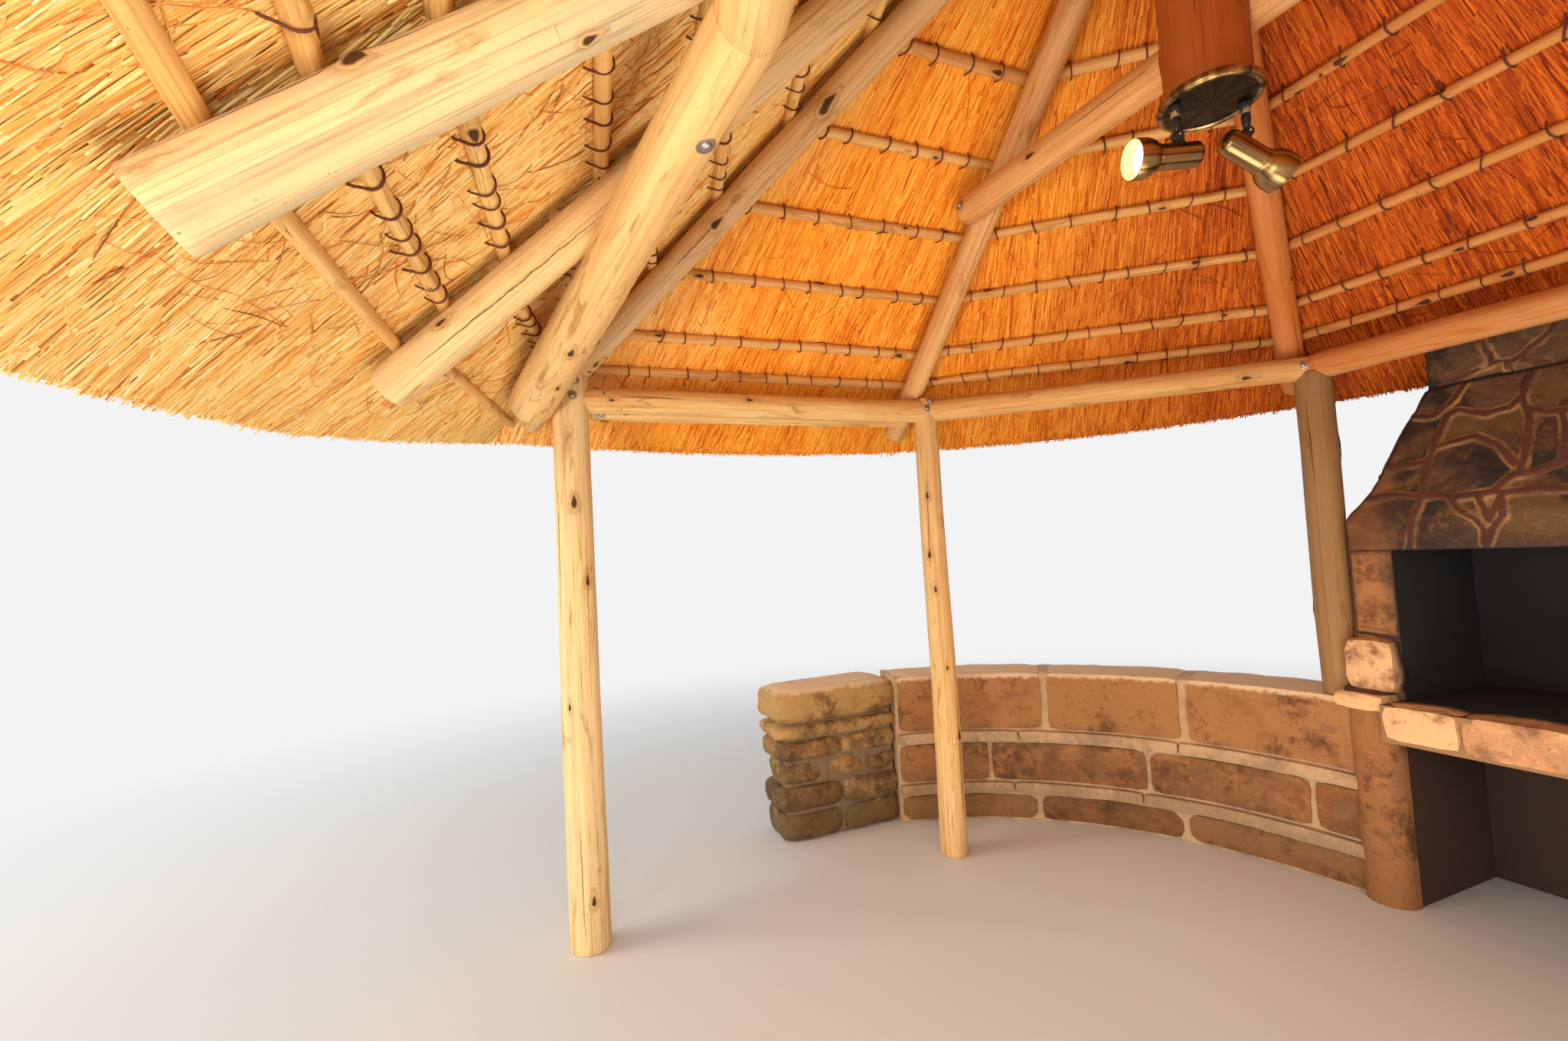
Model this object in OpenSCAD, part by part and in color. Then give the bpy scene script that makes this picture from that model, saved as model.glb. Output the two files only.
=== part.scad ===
// Round thatched pole shelter with a stone fireplace and a low stone wall.
// Lengths in millimetres. The origin is on the ground under the apex, the open front faces -Y
// and the fireplace stands at +Y. Azimuths are measured from +Y, the left side is negative.

/* [Roof] */
// height of the point where the undersides of all the thatch bays meet
apex_z = 3940; // [3850:10:4050]
// thickness of the thatch at the eave, measured straight up
thatch_eave = 190; // [150:5:230]
// how far the eave of each bay bows out between two rafters
eave_bow = 40; // [0:5:70]
// overhang of the eave past the ring at the front corner rafters
eave_a = 590; // [480:10:650]
// overhang of the eave past the ring at the side rafters
eave_b = 540; // [450:10:620]
// overhang of the eave past the ring at the back rafters
eave_c = 475; // [420:5:560]
// radius of the eave at the rafter in the front middle
eave_front = 2620; // [2560:5:2680]
// height of the eave at the rafter in the front middle
eave_front_z = 1975; // [1950:5:2000]
// radius of the eave at the two rafters beside the front middle
eave_2 = 2700; // [2650:5:2750]
// height of the eave at the two rafters beside the front middle
eave_2_z = 2050; // [2030:5:2070]
// radius of the round mortar ridge cap
cap_r = 540; // [530:5:560]
// height of the ridge cap over its seat
cap_h = 190; // [150:5:230]

/* [Posts] */
// azimuth of the front corner posts
az_a = 130.45; // [129.5:0.05:131.5]
// azimuth of the side posts
az_b = 82.6; // [81:0.1:84]
// azimuth of the back posts
az_c = 25.7; // [25:0.1:26.5]
// distance of the front corner posts from the centre
ring_a = 2440; // [2400:10:2480]
// distance of the side posts from the centre
ring_b = 1880; // [1860:10:1900]
// distance of the back posts from the centre
ring_c = 1808; // [1798:2:1820]
// foot diameter of the front corner posts
post_a_d = 168; // [150:1:180]
// foot diameter of the side posts
post_b_d = 138; // [125:1:150]
// diameter of the back posts
post_c_d = 140; // [125:1:145]

/* [Ring and front beams] */
// height of the axes of the ring beams
ring_z = 2330; // [2300:5:2360]
// diameter of the ring beams
beam_d = 118; // [105:1:125]
// diameter of the thinner pole tied under the side beams
under_d = 56; // [45:1:65]
// diameter of the front beams at the corner posts
front_d1 = 190; // [175:1:196]
// diameter of the front beams where they meet
front_d2 = 150; // [140:1:170]
// depth of the notches where poles sit on each other
notch = 10; // [6:1:14]

/* [Rafters and laths] */
// diameter of the front corner rafters
rafter_a_d = 112; // [100:1:118]
// diameter of the side rafters
rafter_b_d = 115; // [105:1:120]
// diameter of the back rafters
rafter_c_d = 110; // [100:1:118]
// diameter of the two rafters beside the front middle
rafter_2_d = 124; // [110:1:130]
// diameter of the rafter in the front middle
rafter_1_d = 134; // [120:1:140]
// diameter of the laths
lath_d = 44; // [36:1:50]
// height of the lowest full ring of laths
lath_z = 2514; // [2500:2:2530]
// height step between the upper laths
lath_step = 187; // [180:1:190]

/* [Hub] */
// diameter of the hanging king post
king_d = 210; // [200:1:220]
// height of the flat foot of the king post
king_z = 2784; // [2760:2:2800]
// diameter of the tie pole through the hub
tie_d = 118; // [105:1:125]
// reach of the tie pole to the left, from the middle of the hub
tie_half = 1130; // [1100:5:1150]

/* [Low wall] */
// height of the low wall and of its end piers
wall_h = 840; // [800:5:870]
// thickness of the low wall
wall_t = 300; // [280:5:330]
// inner radius of the low wall
wall_r = 1755; // [1745:5:1765]
// how far the thin ledge courses stand out
ledge_out = 22; // [12:1:30]
// length of the end pier along the wall
pier_l = 760; // [700:10:800]
// thickness of the rounded slab on the end pier
pier_cap = 200; // [160:5:220]

/* [Fireplace] */
// full width of the fireplace
braai_w = 1480; // [1470:5:1490]
// width of the fire opening
fire_w = 1080; // [1020:5:1110]
// height of the hearth
hearth_z = 850; // [820:5:880]
// thickness of the hearth slab
hearth_t = 150; // [120:5:170]
// height of the fire opening
fire_h = 630; // [600:5:660]
// width of the chimney stack
stack_w = 900; // [840:5:920]
// height of the top of the chimney stack
stack_top = 4500; // [4400:10:4600]
// width of the flue
flue_w = 340; // [300:5:360]

/* [Lamp] */
// diameter of the round base plate
plate_d = 256; // [240:1:262]
// length of the body of a spotlight
spot_l = 118; // [105:1:125]
// diameter of the body of a spotlight
spot_d = 66; // [60:1:70]
// diameter of the bell at the mouth of a spotlight
bell_d = 104; // [96:1:108]
// distance of the lamp stems from the middle of the plate
stem_r = 95; // [92:1:98]

/* [Hidden] */
$fn = 64;
seat = 0.05;
big = 9000;

function pol(r, a, z) = [r * sin(a), r * cos(a), z];
function mix(p, q, t) = p + (q - p) * t;
function slope_cos(k) = 1 / sqrt(1 + k * k);

// hips of the roof, by name: azimuth, ring radius, rafter diameter
haz = [az_c + 2.3, az_b + 1.6, az_a - 0.65, 154, 180];
hring = [ring_c, ring_b, ring_a];
hdia = [rafter_c_d, rafter_b_d, rafter_a_d, rafter_2_d, rafter_1_d];
lr = lath_d / 2;
// a first slope of each hip, only for the cosines
k0 = [for (i = [0:2]) (apex_z - ring_z - 250) / hring[i]];
front_k = (apex_z - eave_front_z) / eave_front;
second_k = (apex_z - eave_2_z) / eave_2;
// height of the thatch underside over the ring at the first three hips
hz = [for (i = [0:2]) ring_z + (beam_d / 2 + hdia[i] / 2 - notch + hdia[i] / 2 + lath_d)
  / slope_cos(k0[i])];
hk = [(apex_z - hz[0]) / hring[0], (apex_z - hz[1]) / hring[1], (apex_z - hz[2]) / hring[2],
  second_k, front_k];
heave = [ring_c + eave_c, ring_b + eave_b, ring_a + eave_a, eave_2, eave_front];
tail = [ring_c + 233, ring_b + 290, ring_a + 310, eave_2 - 316, eave_front - 380];
function hip(i, r, s) = pol(r, s * haz[i], apex_z - hk[i] * r);
// axis of a rafter: the thatch line lowered by the laths and its own radius
function rdrop(i) = (hdia[i] / 2 + lath_d - 2.5) / slope_cos(hk[i]);
function raxis(i, r, s) = hip(i, r, s) - [0, 0, rdrop(i)];

module pole(p, q, d1, d2) {
  v = q - p;
  len = norm(v);
  translate(p) rotate([0, acos(v[2] / len), atan2(v[1], v[0])])
    cylinder(h = len, d1 = d1, d2 = d2);
}

// keeps what lies between two azimuths
module sector(a0, a1) {
  linear_extrude(big) polygon([[0, 0], big * [sin(a0), cos(a0)],
    big * [sin((a0 + a1) / 2), cos((a0 + a1) / 2)], big * [sin(a1), cos(a1)]]);
}

// ---- posts and beams ----
pa = pol(ring_a, az_a, 0);
pb = pol(ring_b, az_b, 0);
pc = pol(ring_c, az_c, 0);
post_a_top = ring_z + 120;
post_b_top = ring_z + 74;
post_c_top = ring_z - 8;
post_a_d2 = post_a_d - 16;
post_b_d2 = post_b_d - 18;
up = [0, 0, 1];
function side(p, s) = [s * p[0], p[1], p[2]];

module post_a_raw(s) pole(side(pa, s), side(pa, s) + post_a_top * up, post_a_d, post_a_d2);
module post_b_raw(s) pole(side(pb, s), side(pb, s) + post_b_top * up, post_b_d, post_b_d2);
module post_c_raw(s) pole(side(pc, s) + wall_h * up, side(pc, s) + post_c_top * up,
  post_c_d, post_c_d);

// front beam: runs past the outer face of the corner post and rises to the middle
fb_dir = [0.9762, 0.2168];
fb_off = post_a_d2 / 2 + front_d1 / 2 - 10;
fb_a = [-pa[0] + fb_off * fb_dir[1], pa[1] - fb_off * fb_dir[0]];
fb_len = -fb_a[0] / fb_dir[0];
// distance from the apex at which the front beams meet under the middle rafter
fb_mid = -fb_a[1] - fb_dir[1] * fb_len;
fb_zm = apex_z - front_k * fb_mid - rdrop(4)
  - (rafter_1_d / 2 + front_d2 / 2 - notch) / slope_cos(front_k);
fb_za = ring_z - 20;
fb_k = (fb_zm - fb_za) / fb_len;
function fb(t) = [fb_a[0] + fb_dir[0] * t, fb_a[1] + fb_dir[1] * t, fb_za + fb_k * t];
module front_raw(s) intersection() {
  p = fb(-70);
  q = fb(fb_len + 120);
  pole([-s * p[0], p[1], p[2]], [-s * q[0], q[1], q[2]], front_d1, front_d2 - 4);
  translate([s > 0 ? 0 : -big, -big, 0]) cube([big, big, big]);
}

module beam_raw(p, q, z, thin = 0) pole([p[0], p[1], z], [q[0], q[1], z], beam_d, beam_d - thin);
module ab_raw(s) {
  a = side(pa, s);
  b = side(pb, s);
  beam_raw(a, b, ring_z);
  // the thinner pole lies against the outer lower side
  o = [s * (beam_d + under_d - 16) / 2 * 0.8, 0, -(beam_d + under_d - 16) / 2 * 0.6];
  pole(a + ring_z * up + o + [0, 90, 0], b + ring_z * up + o - [0, 90, 0], under_d, under_d);
}
module bc_raw(s) {
  b = side(pb, s);
  c = side(pc, s);
  beam_raw(b, mix(b, c, 1.035), ring_z, 8);
}
module cc_raw() beam_raw(side(pc, -1), pc, ring_z);

// ---- rafters ----
module rafter_raw(i, s) pole(raxis(i, tail[i], s), raxis(i, 20, s), hdia[i], hdia[i] - 6);
function lo(i) = i == 0 ? 0 : (haz[i] + haz[i - 1]) / 2;
function hi(i) = (haz[i] + haz[i + 1]) / 2;
// the king post hangs a little left of the apex
king_x = -40;
module king_raw(z0) translate([king_x, 0, z0]) cylinder(h = apex_z - 40 - z0, d = king_d);
module rafter(i, s) {
  difference() {
    intersection() {
      rafter_raw(i, s);
      if (i == 4) sector(hi(3), 360 - hi(3)); else sector(s * lo(i), s * hi(i));
    }
    king_raw(king_z);
    if (i == 0) { bc_raw(s); cc_raw(); }
    if (i == 1) { bc_raw(s); ab_raw(s); post_b_raw(s); }
    if (i == 2) { ab_raw(s); front_raw(s); post_a_raw(s); }
    if (i == 3) front_raw(s);
    if (i == 4) { front_raw(1); front_raw(-1); }
  }
}

// ---- laths ----
// heights of the laths over the lowest ring, lowest first
lath_up = [for (i = [0:5]) lath_z + 119 + i * lath_step];
// the front bays have lower laths too, and the two in the middle have heights of their own
lath_corner = concat([lath_z - 202, lath_z - 12], lath_up);
lath_front = concat([lath_z - 228, lath_z - 122, lath_z + 10],
  [for (i = [0:4]) lath_z + 214 + i * lath_step]);
function bay_normal(i, j, si, sj) =
  let (n = cross(hip(i, 1000, si) - hip(i, 0, si), hip(j, 1000, sj) - hip(j, 0, sj)))
  n / norm(n) * (n[2] > 0 ? 1 : -1);
module lath(i, j, si, sj, zi, zj) {
  n = bay_normal(i, j, si, sj);
  p = hip(i, (apex_z - zi) / hk[i], si) - n * (lr - seat);
  q = hip(j, (apex_z - zj) / hk[j], sj) - n * (lr - seat);
  u = (q - p) / norm(q - p);
  pole(p - 60 * u, q + 60 * u, lath_d, lath_d - 4);
}
module bay_laths(i, j, si, sj, a0, a1, zs) {
  difference() {
    intersection() {
      for (z = zs) lath(i, j, si, sj, z, z);
      sector(a0, a1);
    }
    rafter_raw(i, si);
    rafter_raw(j, sj);
    if (j > 2) front_raw(sj);
    if (i == 2) post_a_raw(si);
  }
}

// ---- thatch ----
thatch_r0 = king_d / 2 - king_x + 15;
seat_r = 250;
cone_r = 500;
seat_z = apex_z + 55;
cone_k = 0.70;
cone_z = seat_z - (cone_r - seat_r) * cone_k;
bay_n = 8;
part_gap = 0.06;
// one section of a bay at fraction t between its two hips: underside, eave, top, seat
function section(i, j, si, sj, t) =
  let (e0 = mix(hip(i, heave[i], si), hip(j, heave[j], sj), t),
    out = [e0[0], e0[1]] / norm([e0[0], e0[1]]),
    k = (apex_z - e0[2]) / norm([e0[0], e0[1]]),
    b = eave_bow * (i > 2 || j > 2 ? 0.5 : 1) * 4 * t * (1 - t),
    e1 = e0 + [out[0] * b, out[1] * b, -k * b])
  [[out[0] * thatch_r0, out[1] * thatch_r0, apex_z - k * thatch_r0],
    e1, e1 + [out[0] * 34, out[1] * 34, 34],
    e1 + [out[0] * 52, out[1] * 52, thatch_eave * 0.72],
    e1 + [out[0] * 22, out[1] * 22, thatch_eave],
    [out[0] * cone_r, out[1] * cone_r, cone_z],
    [out[0] * seat_r, out[1] * seat_r, seat_z],
    [out[0] * thatch_r0, out[1] * thatch_r0, seat_z]];
// level step of part_gap from one section towards the next
function parting(a, b) = let (u = [a[1][0], a[1][1]], w = cross(u, [b[1][0], b[1][1]]))
  [-u[1], u[0], 0] / norm(u) * part_gap * (w > 0 ? 1 : -1);
// thatch over a run of neighbouring bays; each hip is given as [number, side]
module bays(hips, n = bay_n) {
  m = 8;
  secs = [for (c = [0:len(hips) - 2], a = [(c == 0 ? 0 : 1):n])
    section(hips[c][0], hips[c + 1][0], hips[c][1], hips[c + 1][1], a / n)];
  last = len(secs) - 1;
  pts = [for (a = [0:last], p = secs[a])
    p + (a == 0 ? parting(secs[0], secs[1])
      : a == last ? parting(secs[last], secs[last - 1]) : [0, 0, 0])];
  flip = cross([secs[0][1][0], secs[0][1][1]], [secs[1][1][0], secs[1][1][1]]) < 0;
  ends = concat([[for (b = [0:m - 1]) b]], [[for (b = [m - 1:-1:0]) last * m + b]]);
  walls = [for (a = [0:last - 1], b = [0:m - 1])
    let (p = a * m + b, q = a * m + (b + 1) % m)
    each [[p, p + m, q], [q, p + m, q + m]]];
  faces = concat(ends, walls);
  polyhedron(pts, flip ? [for (f = faces) [for (x = [len(f) - 1:-1:0]) f[x]]] : faces, 6);
}
stack_y0 = 1800;
stack_y1 = ring_c * cos(az_c) + 790;
braai_y1 = eave_front + 52;

// ---- low wall ----
arc_c = [-610, -190];
module rrect(w, d, r) {
  translate([r, 0]) square([w - 2 * r, d]);
  translate([0, r]) square([w, d - 2 * r]);
  for (x = [r, w - r], y = [r, d - r]) translate([x, y]) circle(r, $fn = 48);
}
// upright section of the wall: three courses with two thin ledges, and a rounded head
module wall_section() {
  x0 = wall_r;
  h1 = wall_h * 0.18; h2 = wall_h * 0.26; h3 = wall_h * 0.53; h4 = wall_h * 0.61;
  translate([x0, 0]) square([wall_t, wall_h - 40]);
  translate([x0 - ledge_out, h1]) square([wall_t + 2 * ledge_out, h2 - h1]);
  translate([x0 - ledge_out, h3]) square([wall_t + 2 * ledge_out, h4 - h3]);
  translate([x0, wall_h - 80]) rrect(wall_t, 80, 26);
}
module wall_arc() {
  difference() {
    translate([arc_c[0], arc_c[1], 0]) rotate([0, 0, 88]) rotate_extrude(angle = 79, $fn = 288)
      wall_section();
    translate([-braai_w / 2, 0, -1]) cube([braai_w, big, wall_h + 2]);
  }
}
pier_y1 = arc_c[1] + (wall_r + wall_t / 2) * sin(13);
module pier() {
  w = wall_t + 40;
  x1 = arc_c[0] - wall_r + 20;
  translate([x1 - w, pier_y1 - pier_l, 0]) {
    linear_extrude(wall_h - pier_cap - 80) translate([25, 25]) rrect(w - 50, pier_l - 25, 40);
    translate([0, 0, wall_h - pier_cap - 80]) linear_extrude(80)
      translate([5, 5]) rrect(w - 10, pier_l - 5, 45);
    translate([0, 0, wall_h - pier_cap]) linear_extrude(40)
      translate([8, 8]) rrect(w - 16, pier_l - 8, 50);
    translate([0, 0, wall_h - pier_cap + 40]) linear_extrude(pier_cap - 75)
      translate([-14, -14]) rrect(w + 28, pier_l + 14, 60);
    translate([0, 0, wall_h - 35]) linear_extrude(35) translate([6, 6]) rrect(w - 12, pier_l - 6, 55);
  }
}

// ---- fireplace ----
by0 = 1520;
jamb_y = 1605;
base_in = fire_w / 2 + 30;
store_y = 2200;
pier_top = hearth_z + 30;
module braai_base() {
  hw = braai_w / 2;
  pw = hw - base_in;
  difference() {
    union() {
      translate([-hw, jamb_y, 0]) cube([2 * hw, braai_y1 - jamb_y, hearth_z]);
      for (s = [-1, 1]) translate([s < 0 ? -hw : base_in, by0, 0])
        linear_extrude(hearth_z) rrect(pw, 300, pw / 2 - 1);
      // rounded heads of the two piers
      for (s = [-1, 1]) intersection() {
        translate([s * (hw + base_in) / 2, by0 + pw / 2, hearth_z - 40]) sphere(d = pw * 1.4);
        translate([s < 0 ? -hw : base_in, by0, hearth_z - 1]) cube([pw, jamb_y - by0, 45]);
      }
      // hearth slab
      translate([-base_in, by0 - 45, hearth_z - hearth_t])
        cube([2 * base_in, store_y - by0, hearth_t]);
    }
    translate([-base_in, by0 - 10, -1]) cube([2 * base_in, store_y - by0, hearth_z - hearth_t + 1]);
    // pockets in which the back posts stand
    for (s = [-1, 1]) translate(side(pc, s) + wall_h * up)
      cylinder(h = hearth_z, d = post_c_d + 4);
  }
}
hood_z0 = hearth_z + fire_h;
hood_z1 = 2150;
// the shoulder just above the lintel course, then a steeper taper
hood_zs = hood_z0 + 250;
hood_in = 89;
module frustum_y(w0, w1, y0, y1, b0, b1, z0, z1) {
  polyhedron([[-w0, y0, z0], [w0, y0, z0], [w0, b0, z0], [-w0, b0, z0],
    [-w1, y1, z1], [w1, y1, z1], [w1, b1, z1], [-w1, b1, z1]],
    [[0, 1, 2, 3], [4, 7, 6, 5], [0, 4, 5, 1], [1, 5, 6, 2], [2, 6, 7, 3], [3, 7, 4, 0]]);
}
module braai_hood() {
  // narrower than the base, so that the back posts stand beside it
  hw = min(braai_w / 2 - 45, pc[0] - post_c_d / 2 - 15);
  fw = fire_w / 2;
  difference() {
    union() {
      for (s = [-1, 1]) translate([s < 0 ? -hw : fw, jamb_y, hearth_z])
        cube([hw - fw, braai_y1 - jamb_y, fire_h]);
      translate([-hw, store_y, hearth_z]) cube([2 * hw, braai_y1 - store_y, fire_h]);
      // lintel course
      translate([-hw, jamb_y, hood_z0]) cube([2 * hw, braai_y1 - jamb_y, 130]);
      frustum_y(hw, hw - hood_in, jamb_y, jamb_y + 35, braai_y1, braai_y1 - 60,
        hood_z0 + 130, hood_zs);
      frustum_y(hw - hood_in, stack_w / 2, jamb_y + 35, stack_y0, braai_y1 - 60, stack_y1,
        hood_zs, hood_z1);
    }
    // smoke chamber, narrowing to the flue
    frustum_y(fw, flue_w / 2, jamb_y + 160, stack_y0 + 110, stack_y1 - 190, stack_y1 - 190,
      hood_z0 - 1, hood_z1 + 1);
  }
}
module chimney() {
  difference() {
    union() {
      translate([-stack_w / 2, stack_y0, hood_z1])
        cube([stack_w, stack_y1 - stack_y0, stack_top - 170 - hood_z1]);
      // corbelled head
      translate([-stack_w / 2 - 35, stack_y0 - 35, stack_top - 330])
        cube([stack_w + 70, stack_y1 - stack_y0 + 70, 80]);
    }
    translate([-flue_w / 2, stack_y0 + 110, hood_z1 - 1])
      cube([flue_w, stack_y1 - stack_y0 - 300, stack_top]);
  }
  // cover slab on four short feet
  for (x = [-1, 1], y = [stack_y0 + 10, stack_y1 - 100])
    translate([x * (stack_w / 2 - 55) - 45, y, stack_top - 170]) cube([90, 90, 110]);
  translate([-stack_w / 2 - 25, stack_y0 - 25, stack_top - 60])
    cube([stack_w + 50, stack_y1 - stack_y0 + 50, 60]);
}

// ---- lamp ----
lamp_az = 69;
plate_h = 26;
knuckle_z = -82;
eye_t = 12;
eye_d = 30;
pin_d = 8;
body_z = -spot_d / 2 - 22;
module lamp_base() translate([king_x, 0, king_z - plate_h]) {
  cylinder(h = plate_h, d = plate_d - 26);
  rotate_extrude() translate([plate_d / 2 - 13, 13]) circle(13);
  translate([0, 0, 6]) cylinder(h = 14, d = plate_d - 26);
}
// stem: collar, tube and the eye that the head hangs on; origin at the plate
module stem() {
  translate([0, 0, -14]) cylinder(h = 14, d = 30);
  translate([0, 0, knuckle_z + 13.5]) cylinder(h = -knuckle_z - 17.5, d = 16);
  difference() {
    translate([0, eye_t / 2, knuckle_z]) rotate([90, 0, 0]) cylinder(h = eye_t, d = eye_d);
    translate([0, eye_t, knuckle_z]) rotate([90, 0, 0]) cylinder(h = 2 * eye_t, d = pin_d + 0.2);
  }
}
// head, drawn level with its mouth towards +X; origin at the knuckle
module head() {
  for (y = [-1, 1]) translate([0, y * (eye_t / 2 + 0.4 + 2.5) + 2.5, 0]) {
    rotate([90, 0, 0]) cylinder(h = 5, d = eye_d - 4);
    translate([-9, -5, body_z + spot_d / 2 - 12]) cube([18, 5, -body_z - spot_d / 2 + 12]);
  }
  translate([0, eye_t / 2 + 3, 0]) rotate([90, 0, 0]) cylinder(h = eye_t + 6, d = pin_d);
  r = spot_d / 2;
  m = spot_l - 56;
  difference() {
    // thin shell: domed back, straight body, bell
    translate([0, 0, body_z]) rotate([0, 90, 0]) rotate_extrude() polygon([
      [0, -56], [r - 16, -56], [r - 5, -50], [r, -38], [r, m + 8], [bell_d / 2 - 6, m + 34],
      [bell_d / 2, m + 52], [bell_d / 2, m + 78], [bell_d / 2 - 2.5, m + 78],
      [bell_d / 2 - 2.5, m + 53], [bell_d / 2 - 8, m + 36], [r - 2.5, m + 10], [r - 2.5, -37],
      [r - 7, -48], [r - 17, -53.5], [0, -53.5]]);
    // slots that let the heat out
    for (i = [0:4]) translate([-34 + i * 9 + (i > 1 ? 22 : 0), -14, body_z + r - 6])
      cube([4, 28, 12]);
  }
  // reflector lamp, standing in the bell
  translate([m + 4, 0, body_z]) rotate([0, 90, 0]) cylinder(h = 8, r = r - 1);
  translate([m + 11, 0, body_z]) rotate([0, 90, 0]) cylinder(h = 38, d1 = spot_d - 10, d2 = bell_d - 18);
}
spot_tilt = [4, 28];
spot_pan = [184, 8];
module at_stem(n) translate([king_x, 0, king_z - plate_h]) rotate([0, 0, lamp_az])
  translate([n == 0 ? -stem_r : stem_r, 0, 0]) rotate([0, 0, spot_pan[n]]) children();
module spot_head(n) at_stem(n) translate([0, 0, knuckle_z]) rotate([0, spot_tilt[n], 0]) head();

// ---- the sub-parts ----
wood = [0.86, 0.66, 0.40];
straw = [0.80, 0.52, 0.22];
stone = [0.62, 0.50, 0.38];
bronze = [0.50, 0.40, 0.26];

module post_a(s) color(wood) difference() { post_a_raw(s); front_raw(s); }
module post_b(s) color(wood) post_b_raw(s);
module post_c(s) color(wood) difference() { post_c_raw(s); bc_raw(s); cc_raw(); }
module post_a_l() post_a(-1);
module post_a_r() post_a(1);
module post_b_l() post_b(-1);
module post_b_r() post_b(1);
module post_c_l() post_c(-1);
module post_c_r() post_c(1);
module beam_ab(s) color(wood) difference() { ab_raw(s); post_a_raw(s); post_b_raw(s); front_raw(s); }
module beam_bc(s) color(wood) difference() { bc_raw(s); post_b_raw(s); ab_raw(s); }
module beam_ab_l() beam_ab(-1);
module beam_ab_r() beam_ab(1);
module beam_bc_l() beam_bc(-1);
module beam_bc_r() beam_bc(1);
module beam_cc() color(wood) difference() { cc_raw(); bc_raw(-1); bc_raw(1); }
module front_beam_l() color(wood) front_raw(-1);
module front_beam_r() color(wood) front_raw(1);
module rafter_a_l() color(wood) rafter(2, -1);
module rafter_a_r() color(wood) rafter(2, 1);
module rafter_b_l() color(wood) rafter(1, -1);
module rafter_b_r() color(wood) rafter(1, 1);
module rafter_c_l() color(wood) rafter(0, -1);
module rafter_c_r() color(wood) rafter(0, 1);
module rafter_2_l() color(wood) rafter(3, -1);
module rafter_2_r() color(wood) rafter(3, 1);
module rafter_1() color(wood) rafter(4, 1);
module king_post() color(wood) king_raw(king_z);
// the tie pole passes behind the king post, from the near side of the left side rafter
// to the far side of the right one
tie_r = 1120;
tie_y = tie_r * cos(haz[1]);
tie_z = raxis(1, tie_r, 1)[2];
tie_k = (rafter_b_d / 2 + tie_d / 2 - notch) / tie_r;
module tie_pole() color(wood) difference() {
  pole([-tie_half, tie_y - tie_k * tie_half, tie_z],
    [tie_half - 110, tie_y + tie_k * (tie_half - 110), tie_z], tie_d, tie_d - 4);
  king_raw(king_z);
  for (s = [-1, 1]) { rafter_raw(1, s); rafter_raw(0, s); }
}
module laths_side(s) color(wood) {
  bay_laths(0, 1, s, s, s * haz[0], s * haz[1], concat([lath_z], lath_up));
  bay_laths(1, 2, s, s, s * haz[1], s * haz[2], concat([lath_z], lath_up));
}
module laths_left() laths_side(-1);
module laths_right() laths_side(1);
module laths_back() color(wood)
  bay_laths(0, 0, -1, 1, -haz[0], haz[0], concat([lath_z], lath_up));
module laths_front() color(wood) for (s = [-1, 1]) {
  bay_laths(2, 3, s, s, s * haz[2], s * (haz[3] - 0.3), lath_corner);
  bay_laths(3, 4, s, s, s * haz[3], s * haz[4], lath_front);
}
module notch_stack() translate([-stack_w / 2, stack_y0, 0]) cube([stack_w, big, big]);
module thatch_side(s) color(straw) bays([[0, s], [1, s], [2, s]]);
module thatch_left() thatch_side(-1);
module thatch_right() thatch_side(1);
module thatch_back() color(straw) difference() { bays([[0, -1], [0, 1]]); notch_stack(); }
module thatch_front() color(straw) bays([[2, -1], [3, -1], [4, 1], [3, 1], [2, 1]], 6);
module ridge_cap() color([0.66, 0.62, 0.56]) rotate_extrude() polygon([
  [0, seat_z], [seat_r + 1, seat_z], [cone_r, cone_z + 3], [cap_r, cone_z - 40 * cone_k + 8],
  [cap_r + 6, cone_z - 6], [cap_r - 30, cone_z + 34], [seat_r, seat_z + cap_h * 0.37],
  [seat_r * 0.48, seat_z + cap_h * 0.82], [seat_r * 0.24, seat_z + cap_h * 0.97], [0, seat_z + cap_h]]);
module wall_l() color(stone) difference() { wall_arc(); post_b_raw(-1); }
module wall_r() color(stone) mirror([1, 0, 0]) difference() { wall_arc(); post_b_raw(-1); }
module pier_l_end() color(stone) difference() { pier(); wall_arc(); }
module pier_r_end() color(stone) mirror([1, 0, 0]) difference() { pier(); wall_arc(); }
module spot_1_stem() color([0.1, 0.1, 0.1]) at_stem(0) stem();
module spot_2_stem() color([0.1, 0.1, 0.1]) at_stem(1) stem();
module spot_1_head() color(bronze) spot_head(0);
module spot_2_head() color(bronze) spot_head(1);

post_a_l();
post_a_r();
post_b_l();
post_b_r();
post_c_l();
post_c_r();
beam_ab_l();
beam_ab_r();
beam_bc_l();
beam_bc_r();
beam_cc();
front_beam_l();
front_beam_r();
rafter_a_l();
rafter_a_r();
rafter_b_l();
rafter_b_r();
rafter_c_l();
rafter_c_r();
rafter_2_l();
rafter_2_r();
rafter_1();
king_post();
tie_pole();
laths_left();
laths_right();
laths_back();
laths_front();
thatch_left();
thatch_right();
thatch_back();
thatch_front();
ridge_cap();
wall_l();
wall_r();
pier_l_end();
pier_r_end();
color(stone) braai_base();
color(stone) braai_hood();
color(stone) chimney();
color(bronze) lamp_base();
spot_1_stem();
spot_1_head();
spot_2_stem();
spot_2_head();
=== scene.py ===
"""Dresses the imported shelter: peeled poles, tied laths, combed grass, stone, fireplace and lamp."""
import math

import bpy
import numpy as np
from mathutils import Matrix, Vector


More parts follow.
